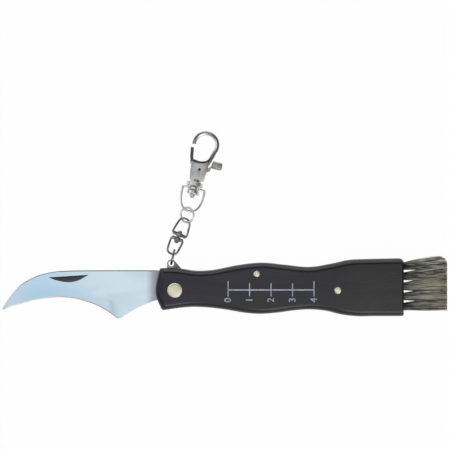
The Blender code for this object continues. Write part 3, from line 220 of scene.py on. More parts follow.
BAIL_ROLL = radians(-16)
BAIL_BOSS_RADIUS = 0.0021
BAIL_BOSS_HALF_THICKNESS = 0.00065
BOSS_ROUNDING = 0.00022
BOSS_ROUNDING_STEPS = 4
HOOK_YAW = radians(12.5)
HOOK_PITCH = radians(-3.2)
LOWER_LOOP_SHARES = ((0.0, 0.0), (0.4, 0.02), (0.7, 0.12), (0.8, 0.28), (0.92, 0.9), (0.84, 1.0))
UPPER_LOOP_SHARES = (
    (0.0, 0.0), (0.27, 0.01), (0.51, 0.06), (0.68, 0.165), (0.78, 0.3), (1.0, 0.9), (0.92, 1.0),
)
BAIL_SHARES = (
    (0.0, 0.0), (0.25, 0.014), (0.51, 0.075), (0.74, 0.2), (0.91, 0.4), (0.99, 0.65), (1.0, 0.94),
    (0.95, 1.0),
)
CORNER_CUT_SHARE = 0.25
WIRE_ROUNDING_PASSES = 3
WIRE_SIDES = 16
RING_STEPS = 72

# Hook: the middles of its eye and of its body's hollow top, and its thumb tab's middle and half sizes.
EYE_MIDDLE = (0.01443, 0.06795, 0.0)
HOLLOW_MIDDLE = (0.01203, 0.0669, 0.0)
TAB_MIDDLE = (0.0196, 0.05779, 0.0034)
TAB_HALF_LENGTH = 0.00268
TAB_HALF_HEIGHT = 0.00192
TAB_OVAL_SHARE = 0.5

# Where each tone starts and where it is full: along X or Y, by the distance from a middle above, or by the
# hair's reach past the handle's end.
WOOD_FRONT_TONE = (0.035, -0.005)
WOOD_REAR_TONE = (0.07, 0.085)
# Painted light: where the wood's face turns lighter towards the bottom.
WOOD_LOW_PAINTED_LIGHT = (0.009, -0.009)
WOOD_GLOSS = (-0.0075, -0.0045)
BLADE_TIP_BLUE = (-0.028, -0.066)
BLADE_LOW_BLUE = (0.005, -0.003)
BLADE_TANG_PAINTED_SHADE = (-0.014, -0.0085)
BLADE_POINT_TONE = (-0.064, -0.08)
SPINE_PAINTED_SHADE_X = (-0.058, -0.052)
SPINE_PAINTED_SHADE_Y = (0.004, 0.006)
LUG_PAINTED_SHADE = (-0.0022, 0.0012)
HOOK_TAN = (0.01, 0.0145)
HOOK_FOOT_TONE = (0.055, 0.0515)
HOOK_EYE_TONE = (0.0605, 0.0625)
HOLLOW_PAINTED_SHADE = (0.0074, 0.008)
EYE_PAINTED_REFLECTION = (0.005, 0.0056)
LEVER_TAB_TONE = (0.0125, 0.016)
HAIR_ROOT_TONE = (-0.002, 0.013)
HAIR_GREY_Y = (0.0078, 0.01)
HAIR_INNER_Y = (0.0016, 0.0006)
HAIR_INNER_REACH = (0.013, 0.01)
HAIR_TOP_Y = (0.005, 0.011)
HAIR_LOW_Y = (-0.001, -0.006)
HAIR_ROSY_Y = (-0.0055, -0.007)
HAIR_ROSY_REACH = (0.012, 0.014)

# How deep the fine marks in the surfaces are.
WOOD_GRAIN_DEPTH = 0.00003
BLADE_MARK_DEPTH = 0.000006
METAL_MARK_DEPTH = 0.00002
PLATE_SWELL_DEPTH = 0.0001
INK_WEAR_DEPTH = 0.00001

# The fixed value of every bare metal.
METAL = {"Metallic": 1.0}

# Rounding of the edges of finished pieces.
METAL_ROUNDING = 0.00014
PLATE_ROUNDING = 0.00008
BAR_PLATE_ROUNDING = 0.00024
FLAT_ANGLE = radians(1.5)
EDGE_ANGLE = radians(28)
SMOOTH_ANGLE = radians(40)
WELD = 0.000002
OVERRUN = 0.003
ROUND_SIDES = 64
QUARTER_TURN = pi / 2

# Room: the floor, and each lamp's place, width and power.
FLOOR_SIZE = 4.0
FLOOR_WHITE_SHARE = 0.98
LAMPS = (
    ("back_lamp", (0.1, 1.05, 0.38), 0.8, 2.8),
    ("left_lamp", (-0.85, 0.2, 0.75), 0.9, 3.0),
    ("front_lamp", (0.45, -0.85, 0.95), 0.9, 5.0),
)


def with_settings(target, **settings):
    """Sets a Blender object's properties, and gives it back."""
    for key, value in settings.items():
        setattr(target, key, value)
    return target


class Socket:
    """A node's output, which the usual operators combine with numbers and other outputs."""

    def __init__(self, shade, output):
        self.shade = shade
        self.output = output

    def math(self, operation, other):
        return self.shade.node("Math", {0: self, 1: other}, operation=operation)

    def __add__(self, other):
        return self.math("ADD", other)

    def __sub__(self, other):
        return self.math("SUBTRACT", other)

    def __mul__(self, other):
        return self.math("MULTIPLY", other)

    def rise(self, start, full):
        """0 up to start, 1 from full on, and a smooth rise between. full may be the lower of the two."""
        inputs = {"Value": self, "From Min": start, "From Max": full}
        return self.shade.node("MapRange", inputs, interpolation_type="SMOOTHSTEP")


class Shade:
    """A node tree being built."""

    def __init__(self, tree):
        self.tree = tree

    def node(self, kind, inputs, output=0, **settings):
        """Adds a shader node, feeds its inputs with values or links, and gives one of its outputs."""
        node = with_settings(self.tree.nodes.new("ShaderNode" + kind), **settings)
        for key, value in inputs.items():
            self.feed(node.inputs[key], value)
        return Socket(self, node.outputs[output])

    def feed(self, target, value):
        if isinstance(value, Socket):
            self.tree.links.new(value.output, target)
        elif isinstance(value, tuple) and target.type == "RGBA":
            target.default_value = (*value, 1.0)
        else:
            target.default_value = value

    def part(self, vector, axis):
        """One of a vector's three parts."""
        return self.node("SeparateXYZ", {0: vector}, output=axis)

    def mix(self, factor, first, second):
        """A colour between two others."""
        return self.node("Mix", {0: factor, 6: first, 7: second}, output=2, data_type="RGBA")


class Material(Shade):
    """A material around its Principled shader, whose own sockets get the fixed values."""

    def __init__(self, name, fixed):
        self.material = bpy.data.materials.new(name)
        self.material.use_nodes = True
        super().__init__(self.material.node_tree)
        self.shader = self.tree.nodes["Principled BSDF"]
        self.place = self.node("TexCoord", {}, output="Object")
        self.x = self.part(self.place, 0)
        self.y = self.part(self.place, 1)
        for key, value in fixed.items():
            self.set(key, value)

    def set(self, key, value):
        self.feed(self.shader.inputs[key], value)

    def stretched(self, scales):
        """The place on the object with each of its parts multiplied."""
        return self.node("VectorMath", {0: self.place, 1: scales}, operation="MULTIPLY")

    def noise(self, scales, detail=2.0, roughness=0.5, distortion=0.0):
        """Noise of so many waves a metre, one number for all ways or one for each axis."""
        even = not isinstance(scales, tuple)
        inputs = {
            "Vector": self.place if even else self.stretched(scales),
            "Scale": scales if even else 1.0,
            "Detail": detail,
            "Roughness": roughness,
            "Distortion": distortion,
        }
        return self.node("TexNoise", inputs, output="Fac")

    def bump(self, height, depth, strength):
        inputs = {"Height": height, "Distance": depth, "Strength": strength}
        self.set("Normal", self.node("Bump", inputs, output="Normal"))

    def done(self, colour, roughness=None):
        """Sets the colour, and the roughness where it varies, and gives the material."""
        self.set("Base Color", colour)
        if roughness:
            self.set("Roughness", roughness)
        return self.material


def wood_material():
    """Near-black stained hardwood with a satin finish: fine grain along X, short dark pores, and painted
    light that makes the face lighter towards the bottom.
    """
    wood = Material("dark_wood", {"Specular IOR Level": 0.15, "Coat Roughness": 0.13})
    broad = wood.noise((20, 150, 110), detail=3, distortion=0.5)
    fine = wood.noise((90, 1500, 1100), detail=4, roughness=0.6)
    pore = wood.noise((260, 4200, 3600), detail=1).rise(0.6, 0.72)
    rear = wood.x.rise(*WOOD_REAR_TONE)
    dark = wood.mix(rear, (0.0092, 0.0076, 0.016), (0.0125, 0.012, 0.014))
    light = wood.mix(rear, (0.021, 0.0178, 0.028), (0.025, 0.024, 0.0262))
    colour = wood.mix((broad * 0.6 + fine * 0.4).rise(0.32, 0.68), dark, light)
    # Painted light: the face lighter towards the bottom.
    colour = wood.mix(wood.y.rise(*WOOD_LOW_PAINTED_LIGHT) * 0.35, colour, (0.041, 0.037, 0.037))
    colour = wood.mix(wood.x.rise(*WOOD_FRONT_TONE) * 0.5, colour, (0.0125, 0.0105, 0.033))
    wood.set("Coat Weight", (broad * 0.2 + 0.52) * (wood.x.rise(*WOOD_GLOSS) * 0.65 + 0.35))
    wood.bump(fine * 0.5 - pore, WOOD_GRAIN_DEPTH, 0.5)
    return wood.done(wood.mix(pore * 0.6, colour, (0.007, 0.006, 0.007)), fine * 0.14 + 0.38)


def blade_material():
    """Polished stainless steel, faintly blue, cooler towards the tip, with painted shade beside the handle.
    """
    steel = Material("blade_steel", METAL)
    drift = steel.noise((30, 75, 10), detail=1, distortion=0.6)
    marks = steel.noise((45, 3800, 3800))
    clouds = steel.noise((60, 110, 20))
    towards_tip = steel.x.rise(*BLADE_TIP_BLUE)
    low = steel.y.rise(*BLADE_LOW_BLUE)
    colour = steel.mix(drift.rise(0.38, 0.62), (0.618, 0.765, 0.846), (0.7, 0.832, 0.912))
    colour = steel.mix(towards_tip * 0.6 + towards_tip * low * 0.3, colour, (0.452, 0.68, 0.864))
    # Painted shade: the blade darker beside the handle, standing in for the handle's reflection.
    colour = steel.mix(steel.x.rise(*BLADE_TANG_PAINTED_SHADE) * 0.8, colour, (0.21, 0.21, 0.24))
    colour = steel.mix(steel.x.rise(*BLADE_POINT_TONE) * 0.7, colour, (0.66, 0.755, 0.8))
    steel.bump(marks, BLADE_MARK_DEPTH, 0.2)
    return steel.done(colour, marks * 0.08 + clouds * 0.05 + 0.19)


def nick_material():
    """The nail nick's steel, streaked along the cut, painted darker than the polished blade as the shade in
    its hollow.
    """
    nick = Material("nick_painted_shade", METAL)
    streaks = nick.noise((80, 5200, 5200))
    # Painted shade: the nick's dark colour. The streaks are the steel's own marks.
    return nick.done(nick.mix(streaks, (0.09, 0.1, 0.12), (0.17, 0.18, 0.2)), streaks * 0.12 + 0.34)


def edge_material():
    """The blade's steel on its chamfered spine and cutting bevel, painted a plain grey as shade on those
    sloped faces, and darker along the spine as more painted shade.
    """
    steel = Material("painted_edge_shade", METAL)
    marks = steel.noise((45, 3800, 3800))
    # Painted shade along the spine.
    spine = steel.x.rise(*SPINE_PAINTED_SHADE_X) * steel.y.rise(*SPINE_PAINTED_SHADE_Y)
    pale = steel.mix(marks, (0.5, 0.51, 0.51), (0.62, 0.63, 0.63))
    return steel.done(steel.mix(spine, pale, (0.22, 0.22, 0.22)), marks * 0.1 + 0.34)


def liner_material():
    """Plain rolled steel, finely scratched lengthwise, with painted shade from its lug's hole to the right.
    """
    liner = Material("liner_steel", METAL)
    marks = liner.noise((60, 3000, 3000), detail=3)
    spots = liner.noise(420, detail=3)
    pale = liner.mix(spots, (0.31, 0.325, 0.32), (0.45, 0.465, 0.45))
    liner.bump(marks, METAL_MARK_DEPTH, 0.4)
    # Painted shade: the lug's right side, and all to the right of it, darker.
    colour = liner.mix(liner.x.rise(*LUG_PAINTED_SHADE) * 0.8, pale, (0.085, 0.09, 0.08))
    return liner.done(colour, marks * 0.16 + 0.28)


def brass_material():
    """Pale brass, brushed a little, with faint tarnish in patches."""
    brass = Material("pale_brass", METAL)
    marks = brass.noise(2400, detail=3)
    tarnish = brass.noise(620, detail=3).rise(0.45, 0.75)
    brass.bump(marks, METAL_MARK_DEPTH, 0.3)
    return brass.done(brass.mix(tarnish, (0.83, 0.81, 0.6), (0.72, 0.69, 0.47)), marks * 0.16 + 0.3)


class Plated(Material):
    """Nickel plate over a surface that is not quite even, with a swell to vary its colour by."""

    def __init__(self, name, roughness):
        super().__init__(name, METAL)
        swell = self.noise(480)
        specks = self.noise(3600)
        self.swell = swell.rise(0.35, 0.7)
        self.set("Roughness", specks.rise(0.5, 0.8) * 0.1 + roughness + swell * 0.05)
        self.bump(swell + specks * 0.08, PLATE_SWELL_DEPTH, 0.4)

    def reach(self, middle):
        """The distance from a point, seen from above."""
        inputs = {0: self.stretched((1, 1, 0)), 1: middle}
        return self.node("VectorMath", inputs, output="Value", operation="DISTANCE")


def nickel_material(name, dull, bright, roughness):
    nickel = Plated(name, roughness)
    return nickel.done(nickel.mix(nickel.swell, dull, bright))


def hook_material():
    """The hook: bluish left, tan right, paler at its foot, with painted shade by its hollow top, and a
    painted reflection that keeps its eye bright inside and dark outside.
    """
    hook = Plated("hook_plate", 0.27)
    colour = hook.mix(hook.x.rise(*HOOK_TAN), (0.485, 0.515, 0.53), (0.53, 0.49, 0.4))
    colour = hook.mix(hook.swell * 0.25, colour, (0.52, 0.52, 0.5))
    colour = hook.mix(hook.y.rise(*HOOK_FOOT_TONE), colour, (0.62, 0.62, 0.6))
    # Painted shade along the body's hollow top.
    colour = hook.mix(hook.reach(HOLLOW_MIDDLE).rise(*HOLLOW_PAINTED_SHADE), (0.1, 0.1, 0.1), colour)
    # Painted reflection: the eye bright inside and dark outside.
    rim = hook.mix(hook.reach(EYE_MIDDLE).rise(*EYE_PAINTED_REFLECTION), (0.62, 0.62, 0.61), (0.2, 0.2, 0.2))
    return hook.done(hook.mix(hook.y.rise(*HOOK_EYE_TONE), colour, rim))


def lever_material():
    """The lever: painted shade along its nose, and a greenish grey on its thumb tab."""
    lever = Plated("lever_plate", 0.38)
    # Painted shade: the lever dark along its nose.
    nose_painted_shade = lever.mix(lever.swell, (0.09, 0.095, 0.1), (0.15, 0.155, 0.16))
    tab = lever.mix(lever.swell, (0.37, 0.37, 0.32), (0.52, 0.52, 0.48))
    return lever.done(lever.mix(lever.x.rise(*LEVER_TAB_TONE), nose_painted_shade, tab))


def bristle_material():
    """Natural hair: dark at the root, sandy or grey further out, each clump and hair with its own tone."""
    hair = Material("bristle_hair", {"Roughness": 0.55, "Specular IOR Level": 0.35})
    reach = hair.x - HANDLE_END
    along = reach.rise(*HAIR_ROOT_TONE)
    light = hair.mix(hair.y.rise(*HAIR_GREY_Y), (0.62, 0.575, 0.445), (0.6, 0.62, 0.53))
    for share, tint in (
        (hair.y.rise(*HAIR_INNER_Y) * reach.rise(*HAIR_INNER_REACH), (0.62, 0.635, 0.57)),
        (hair.y.rise(*HAIR_TOP_Y) * 0.9, (0.96, 0.96, 0.84)),
        (hair.y.rise(*HAIR_LOW_Y) * 0.6, (0.4, 0.37, 0.31)),
        (hair.y.rise(*HAIR_ROSY_Y) * reach.rise(*HAIR_ROSY_REACH), (0.82, 0.65, 0.62)),
    ):
        light = hair.mix(share, light, tint)
    light = hair.mix(along, (0.23, 0.235, 0.21), light)
    dark = hair.mix(along, (0.022, 0.022, 0.017), (0.08, 0.074, 0.054))
    tone = hair.node("Attribute", {}, output="Fac", attribute_name="tone")
    bands = hair.noise((160, 900, 900))
    return hair.done(hair.mix((tone * 0.5 + bands * 0.9 - 0.14).rise(0.28, 0.78), dark, light))


def ink_material():
    """White printed ink, worn a little, so that the wood dulls it in places."""
    ink = Material("white_ink", {"Roughness": 0.55, "Specular IOR Level": 0.3})
    wear = ink.noise(1700, detail=4, roughness=0.7)
    broad = ink.noise(260)
    worn = (wear * 0.6 + broad * 0.4).rise(0.38, 0.66)
    ink.bump(wear, INK_WEAR_DEPTH, 0.4)
    return ink.done(ink.mix(worn, (0.52, 0.58, 0.69), (0.3, 0.34, 0.42)))


def floor_material():
    """A pale floor that the camera, metal and glass see as white, and that still takes a faint shadow."""
    floor = Material("pale_floor", {"Roughness": 0.9, "Specular IOR Level": 0.1})
    floor.set("Base Color", floor.mix(floor.noise(9), (0.78, 0.78, 0.78), (0.82, 0.82, 0.82)))
    glow = floor.node("Emission", {"Color": (1.0, 1.0, 1.0), "Strength": 1.0})
    surface = Socket(floor, floor.shader.outputs[0])
    camera, metal, glass = (
        floor.node("LightPath", {}, output=f"Is {ray} Ray") for ray in ("Camera", "Glossy", "Transmission")
    )
    share = (camera + metal + glass) * FLOOR_WHITE_SHARE
    shown = floor.node("MixShader", {0: share, 1: surface, 2: glow})
    floor.feed(floor.tree.nodes["Material Output"].inputs["Surface"], shown)
    return floor.material


def make_world():
    """A pale ceiling, a band below it that is grey in front and dark behind the knife, and grey walls."""
    world = bpy.data.worlds.new("studio")
    bpy.context.scene.world = world
    world.use_nodes = True
    shade = Shade(world.node_tree)
    direction = shade.node("TexCoord", {}, output="Generated")
    height = shade.part(direction, 2)
    behind = shade.part(direction, 1)
    tone = shade.mix(behind.rise(-0.3, 0.75), (0.22, 0.22, 0.23), (0.41, 0.42, 0.43))
    band = shade.mix(behind.rise(-0.3, 0.15), (0.42, 0.43, 0.44), (0.04, 0.04, 0.045))
    tone = shade.mix(height.rise(0.32, 0.6), tone, band)
    tone = shade.mix(height.rise(0.89, 0.965), tone, (0.92, 0.92, 0.93))
    shade.feed(world.node_tree.nodes["Background"].inputs["Color"], tone)


def add_helper(name, data):
    obj = bpy.data.objects.new(name, data)
    bpy.context.scene.collection.objects.link(obj)
    return obj


def paint(mesh, *materials):
    mesh.materials.clear()
    for material in materials:
        mesh.materials.append(material)


def add_piece(mesh, body, nodes, *materials):
    """Puts a mesh in the scene under its own name, on a body, in place of the CAD nodes named."""
    paint(mesh, *materials)
    obj = add_helper(mesh.name, mesh)
    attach(obj, body)
    if nodes:
        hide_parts(*nodes)


def finished(bm, name, angle=SMOOTH_ANGLE):
    """The bmesh as a mesh, its faces pointing out and smooth except at its sharp edges."""
    bmesh.ops.recalc_face_normals(bm, faces=bm.faces)
    mesh = bpy.data.meshes.new(name)
    bm.to_mesh(mesh)
    bm.free()
    mesh.shade_smooth()
    mesh.set_sharp_from_angle(angle=angle)
    return mesh


def evaluated(obj, name, angle=SMOOTH_ANGLE):
    """The object's mesh with its modifiers done; the object is removed."""
    graph = bpy.context.evaluated_depsgraph_get()
    mesh = bpy.data.meshes.new_from_object(obj.evaluated_get(graph))
    mesh.name = name
    bpy.data.objects.remove(obj, do_unlink=True)
    mesh.shade_smooth()
    mesh.set_sharp_from_angle(angle=angle)
    return mesh


def carved(obj, cutters, name, angle):
    """The object's mesh with the cutters taken out of it. The objects are removed."""
    for cutter in cutters:
        modifier = obj.modifiers.new(cutter.name, "BOOLEAN")
        with_settings(modifier, operation="DIFFERENCE", object=cutter, solver="EXACT")
    mesh = evaluated(obj, name, angle)
    for cutter in cutters:
        bpy.data.objects.remove(cutter, do_unlink=True)
    return mesh


def draft(bm, name):
    """A helper object of the finished bmesh."""
    return add_helper(name, finished(bm, name))


def add_box(bm, low, high):
    """Adds a box between two corners, and gives its vertices."""
    made = bmesh.ops.create_cube(bm, size=1)["verts"]
    size = Vector(high) - Vector(low)
    bmesh.ops.scale(bm, vec=size, verts=made)
    bmesh.ops.translate(bm, vec=Vector(low) + size / 2, verts=made)
    return made


def box_object(name, low, high):
    bm = bmesh.new()
    add_box(bm, low, high)
    return draft(bm, name)


def cad_copy(node):
    """A bmesh of a CAD node, its doubled vertices welded."""
    bm = bmesh.new()
    bm.from_mesh(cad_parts[node].data)
    bmesh.ops.remove_doubles(bm, verts=bm.verts, dist=WELD)
    return bm


def open_edges(bm):
    return [edge for edge in bm.edges if edge.is_boundary]


def extruded_ring(bm, edges):
    """Extrudes a ring of edges, and gives the new edges and vertices."""
    made = bmesh.ops.extrude_edge_only(bm, edges=edges)["geom"]
    new_edges = [g for g in made if isinstance(g, bmesh.types.BMEdge)]
    return new_edges, [g for g in made if isinstance(g, bmesh.types.BMVert)]


def turned(profile, place, sides=ROUND_SIDES):
    """A bmesh turned about the Z axis from (radius, height) pairs, and moved to its place."""
    bm = bmesh.new()
    verts = [bm.verts.new((radius, 0, height)) for radius, height in profile]
    edges = [bm.edges.new(pair) for pair in zip(verts, verts[1:])]
    geom = [*verts, *edges]
    bmesh.ops.spin(bm, geom=geom, cent=(0, 0, 0), axis=(0, 0, 1), angle=tau, steps=sides, use_merge=True)
    bmesh.ops.remove_doubles(bm, verts=bm.verts, dist=WELD)
    bmesh.ops.transform(bm, matrix=place, verts=bm.verts)
    return bm


def smooth_through(points, step):
    """Points on a Catmull-Rom curve through these, about a step apart, without the last one."""
    ends = [2 * points[0] - points[1], *points, 2 * points[-1] - points[-2]]
    out = []
    for before, start, end, after in zip(ends, ends[1:], ends[2:], ends[3:]):
        count = max(1, round((end - start).length / step))
        for i in range(count):
            t = i / count
            pull = (end - before) * (t - 2 * t**2 + t**3) / 2 + (after - start) * (t**3 - t**2) / 2
            out.append(start + (end - start) * (3 * t**2 - 2 * t**3) + pull)
    return out


def handle_point(shares):
    return Vector((shares[0] * HANDLE_LENGTH - PIVOT_TO_FRONT, shares[1] * HANDLE_HALF_HEIGHT))


def handle_outline():
    """The handle's side outline, anticlockwise, as (point, corner radius) pairs, bare beside each corner."""
    loop = []
    for shares, radius in (
        (HANDLE_TOP_SHARES, END_TOP_CORNER_RADIUS),
        (HANDLE_FRONT_SHARES, FRONT_CORNER_RADIUS),
        (HANDLE_BOTTOM_SHARES, FRONT_CORNER_RADIUS),
    ):
        points = [handle_point(pair) for pair in reversed(shares)]
        loop.append((points[0], radius))
        for point in smooth_through(points, OUTLINE_STEP):
            if min((point - points[0]).length, (point - points[-1]).length) > CORNER_CLEAR:
                loop.append((point, 0))
    loop.append((handle_point(HANDLE_BOTTOM_SHARES[0]), END_BOTTOM_CORNER_RADIUS))
    return loop


def inset_outline(loop, distance):
    """The outline moved inwards by a distance, its corners rounded, with the same count at any distance."""
    moved = []
    for i, (point, radius) in enumerate(loop):
        before = (point - loop[i - 1][0]).normalized()
        after = (loop[(i + 1) % len(loop)][0] - point).normalized()
        inward = Vector((-before.y - after.y, before.x + after.x)).normalized()
        reach = distance / max(inward.dot(Vector((-after.y, after.x))), LEAST_MITRE_SHARE)
        moved.append((point + inward * reach, max(radius - distance, radius * LEAST_CORNER_SHARE)))
    out = []
    for i, (point, radius) in enumerate(moved):
        if radius == 0:
            out.append(point)
            continue
        back = (moved[i - 1][0] - point).normalized()
        ahead = (moved[(i + 1) % len(moved)][0] - point).normalized()
        half = back.angle(ahead) / 2
        centre = point + (back + ahead).normalized() * radius / sin(half)
        start = point + back * radius / tan(half) - centre
        for k in range(CORNER_STEPS + 1):
            out.append(centre + Matrix.Rotation((pi - 2 * half) * k / CORNER_STEPS, 2) @ start)
    return out


def nearer_end(point, distance):
    """An inset point, moved out again near the handle's end, whose edge is rounded less."""
    near = min(max(1 + (point.x - HANDLE_END + distance) / END_SQUARE_REACH, 0), 1)
    return point.x + distance * (1 - END_ROUNDING_SHARE) * near, point.y


def scale_levels():
    """The insets and heights of a scale's outline, from its flank over the rounding to its flat face."""
    levels = [(0, MID_PLANE - SCALE_EDGE_ROUNDING)]
    for k in range(1, ROUNDING_STEPS + 1):
        angle = QUARTER_TURN * k / ROUNDING_STEPS
        inwards = SCALE_EDGE_ROUNDING * (1 - cos(angle))
        levels.append((inwards, MID_PLANE - SCALE_EDGE_ROUNDING * (1 - sin(angle))))
    levels.append((SCALE_EDGE_ROUNDING + SCALE_FACE_BAND, MID_PLANE))
    return levels


def pin_place(pin):
    """A pin's radius, and the matrix that moves to its axis."""
    low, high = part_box(pin)
    return (high.x - low.x) / 2, Matrix.Translation((*((low + high) / 2).to_2d(), 0))


def scale_cutters():
    """The space for the liners, for the brush's block, and for the pivot and pins."""
    front = -PIVOT_TO_FRONT
    low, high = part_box("brush_block")
    margin = Vector((BLOCK_CLEARANCE, BLOCK_CLEARANCE, BLOCK_CLEARANCE))
    cutters = [
        box_object(
            "liner_space",
            (front - OVERRUN, -HANDLE_HALF_HEIGHT, MID_PLANE - LINER_SPACE_HALF),
            (front + LINER_LENGTH, HANDLE_HALF_HEIGHT + OVERRUN, MID_PLANE + LINER_SPACE_HALF),
        ),
        box_object("block_space", low - margin, high + margin + Vector((OVERRUN, 0, 0))),
    ]
    for pin in ("pivot_rivet", "spring_pin", "tail_pin"):
        radius, place = pin_place(pin)
        radius += SEAT_CLEARANCE
        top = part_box(pin)[1].z + OVERRUN
        profile = ((0, top), (radius, top), (radius, -OVERRUN), (0, -OVERRUN))
        cutters.append(draft(turned(profile, place), pin + "_seat"))
    return cutters


def make_scale(node, side, material):
    """A wooden scale: its outline extruded level by level round its edge, and cut out for what it holds."""
    loop = handle_outline()
    bm = bmesh.new()
    number = bm.verts.layers.int.new("outline")
    verts = []
    for i, point in enumerate(inset_outline(loop, 0)):
        vert = bm.verts.new((*point, MID_PLANE + side * SCALE_GAP))
        vert[number] = i
        verts.append(vert)
    edges = [bm.edges.new(pair) for pair in zip(verts, [*verts[1:], verts[0]])]
    bmesh.ops.edgeloop_fill(bm, edges=edges)
    for distance, height in scale_levels():
        places = [nearer_end(point, distance) for point in inset_outline(loop, distance)]
        edges, verts = extruded_ring(bm, edges)
        for vert in verts:
            vert.co = (*places[vert[number]], MID_PLANE + side * height)
    bmesh.ops.edgeloop_fill(bm, edges=edges)
    mesh = carved(draft(bm, node + "_draft"), scale_cutters(), node + "_wood", EDGE_ANGLE)
    add_piece(mesh, "handle", [node], material)


def make_pins(material):
    """The pivot's wide head with its raised rim, and the two small pins' slightly domed heads."""
    for pin, shares, dome in (
        ("pivot_rivet", PIVOT_HEAD_SHARES, PIVOT_DOME),
        ("spring_pin", PIN_HEAD_SHARES, PIN_DOME),
        ("tail_pin", PIN_HEAD_SHARES, PIN_DOME),
    ):
        radius, place = pin_place(pin)
        profile = [(r * radius, HANDLE_THICKNESS + h * dome) for r, h in shares]
        bm = turned((*profile, (radius, 0), (0, 0)), place)
        add_piece(finished(bm, pin + "_head"), "handle", [pin], material)


def even_stations(points, count):
    """This many points at even distances along the smooth curve through the given ones."""
    fine = [*smooth_through(points, BLADE_CURVE_STEP), points[-1]]
    reach = [0.0]
    for first, second in zip(fine, fine[1:]):
        reach.append(reach[-1] + (second - first).length)
    out = []
    k = 0
    for i in range(count):
        target = reach[-1] * i / (count - 1)
        while k < len(fine) - 2 and reach[k + 1] <= target:
            k += 1
        share = (target - reach[k]) / (reach[k + 1] - reach[k])
        out.append(fine[k].lerp(fine[k + 1], min(share, 1.0)))
    return out


def blade_section(done, row, width):
    """Where a row of the blade lies between spine and edge, and half the thickness there.

    done is the share of the way to the tip, and row the row's share of the tang's height.
    """
    half = BLADE_THICKNESS / 2
    started = min(max((done - GRIND_START_SHARE) / (GRIND_FULL_SHARE - GRIND_START_SHARE), 0), 1)
    thinned = started * started * (3 - 2 * started)
    chamfer = min(SPINE_CHAMFER, CHAMFER_WIDTH_SHARE * width)
    bevel = min(EDGE_BEVEL, BEVEL_WIDTH_SHARE * width)
    cutting_half = half * (1 + (CUTTING_THICKNESS_SHARE - 1) * thinned)
    bevel_rise = half * (EDGE_THICKNESS_SHARE - CUTTING_THICKNESS_SHARE) * thinned * bevel / EDGE_BEVEL
    bevel_half = cutting_half + bevel_rise
    spine_half = half * (1 + (TIP_THICKNESS_SHARE - 1) * max(done - GRIND_LINE_SHARE, 0) ** 2)
    spine_half = min(spine_half, bevel_half + GRIND_SLOPE_LIMIT * width * (1 - GRIND_LINE_SHARE))
    if row < ROW_MARGIN:
        return row, spine_half - chamfer * SPINE_CHAMFER_SLOPE
    if row > 1 - ROW_MARGIN:
        return row, cutting_half
    if row < CHAMFER_ROW_BELOW:
        row = chamfer / width
    elif row < GRIND_ROW_BELOW:
        row = GRIND_LINE_SHARE
    elif row > BEVEL_ROW_ABOVE:
        row = 1 - bevel / width
    ground = min(max(row - GRIND_LINE_SHARE, 0) / (1 - GRIND_LINE_SHARE - bevel / width), 1)
    return row, spine_half + (bevel_half - spine_half) * ground


def nick_disc():
    """The place, flat face down, and the radius of the wide shallow disc that cuts the nick."""
    radius = ((NICK_LENGTH / 2) ** 2 + NICK_DEPTH**2) / (2 * NICK_DEPTH)
    top = MID_PLANE + BLADE_THICKNESS / 2 - NICK_SURFACE_DROP
    turn = Matrix.Rotation(NICK_ANGLE, 4, "Z") @ Matrix.Rotation(QUARTER_TURN, 4, "X")
    return Matrix.Translation((NICK_X, NICK_Y, top - NICK_DEPTH + radius)) @ turn, radius


def nick_rise(height):
    """How far the disc's rim has drawn in at a height above its flat face."""
    return NICK_DEPTH * (1 - (1 - height / NICK_HEIGHT) ** 2)


def nick_cutter():
    """The disc with its hollowed rim, which leaves a lens-shaped nick with a steep upper wall."""
    place, radius = nick_disc()
    heights = [NICK_HEIGHT * k / NICK_FLOOR_STEPS for k in range(NICK_FLOOR_STEPS + 1)]
    rim = [(radius - nick_rise(height), height) for height in heights]
    return draft(turned(((0, 0), *rim, (0, NICK_HEIGHT)), place, NICK_SIDES), "nick_cutter")


def on_nick(place, radius, vert):
    """Whether a vertex lies on the disc's rim or on its flat face."""
    point = place @ vert.co
    reach = point.to_2d().length
    past_rim = reach - radius + nick_rise(point.z)
    on_rim = -NICK_TOLERANCE < point.z < NICK_HEIGHT and abs(past_rim) < NICK_TOLERANCE
    return on_rim or abs(point.z) < NICK_TOLERANCE and reach < radius


def mark_faces(mesh):
    """Gives the nick's faces the second material, with sharp borders, and the sloped edges the third."""
    place, radius = nick_disc()
    to_disc = place.inverted()
    bm = bmesh.new()
    bm.from_mesh(mesh)
    cut = set()
    for face in bm.faces:
        if all(on_nick(to_disc, radius, vert) for vert in face.verts):
            face.material_index = 1
            cut.add(face)
        elif abs(face.normal.z) < EDGE_TILT_SHARE:
            face.material_index = 2
    for edge in bm.edges:
        if len(cut.intersection(edge.link_faces)) == 1:
            edge.smooth = False
    bm.to_mesh(mesh)
    bm.free()


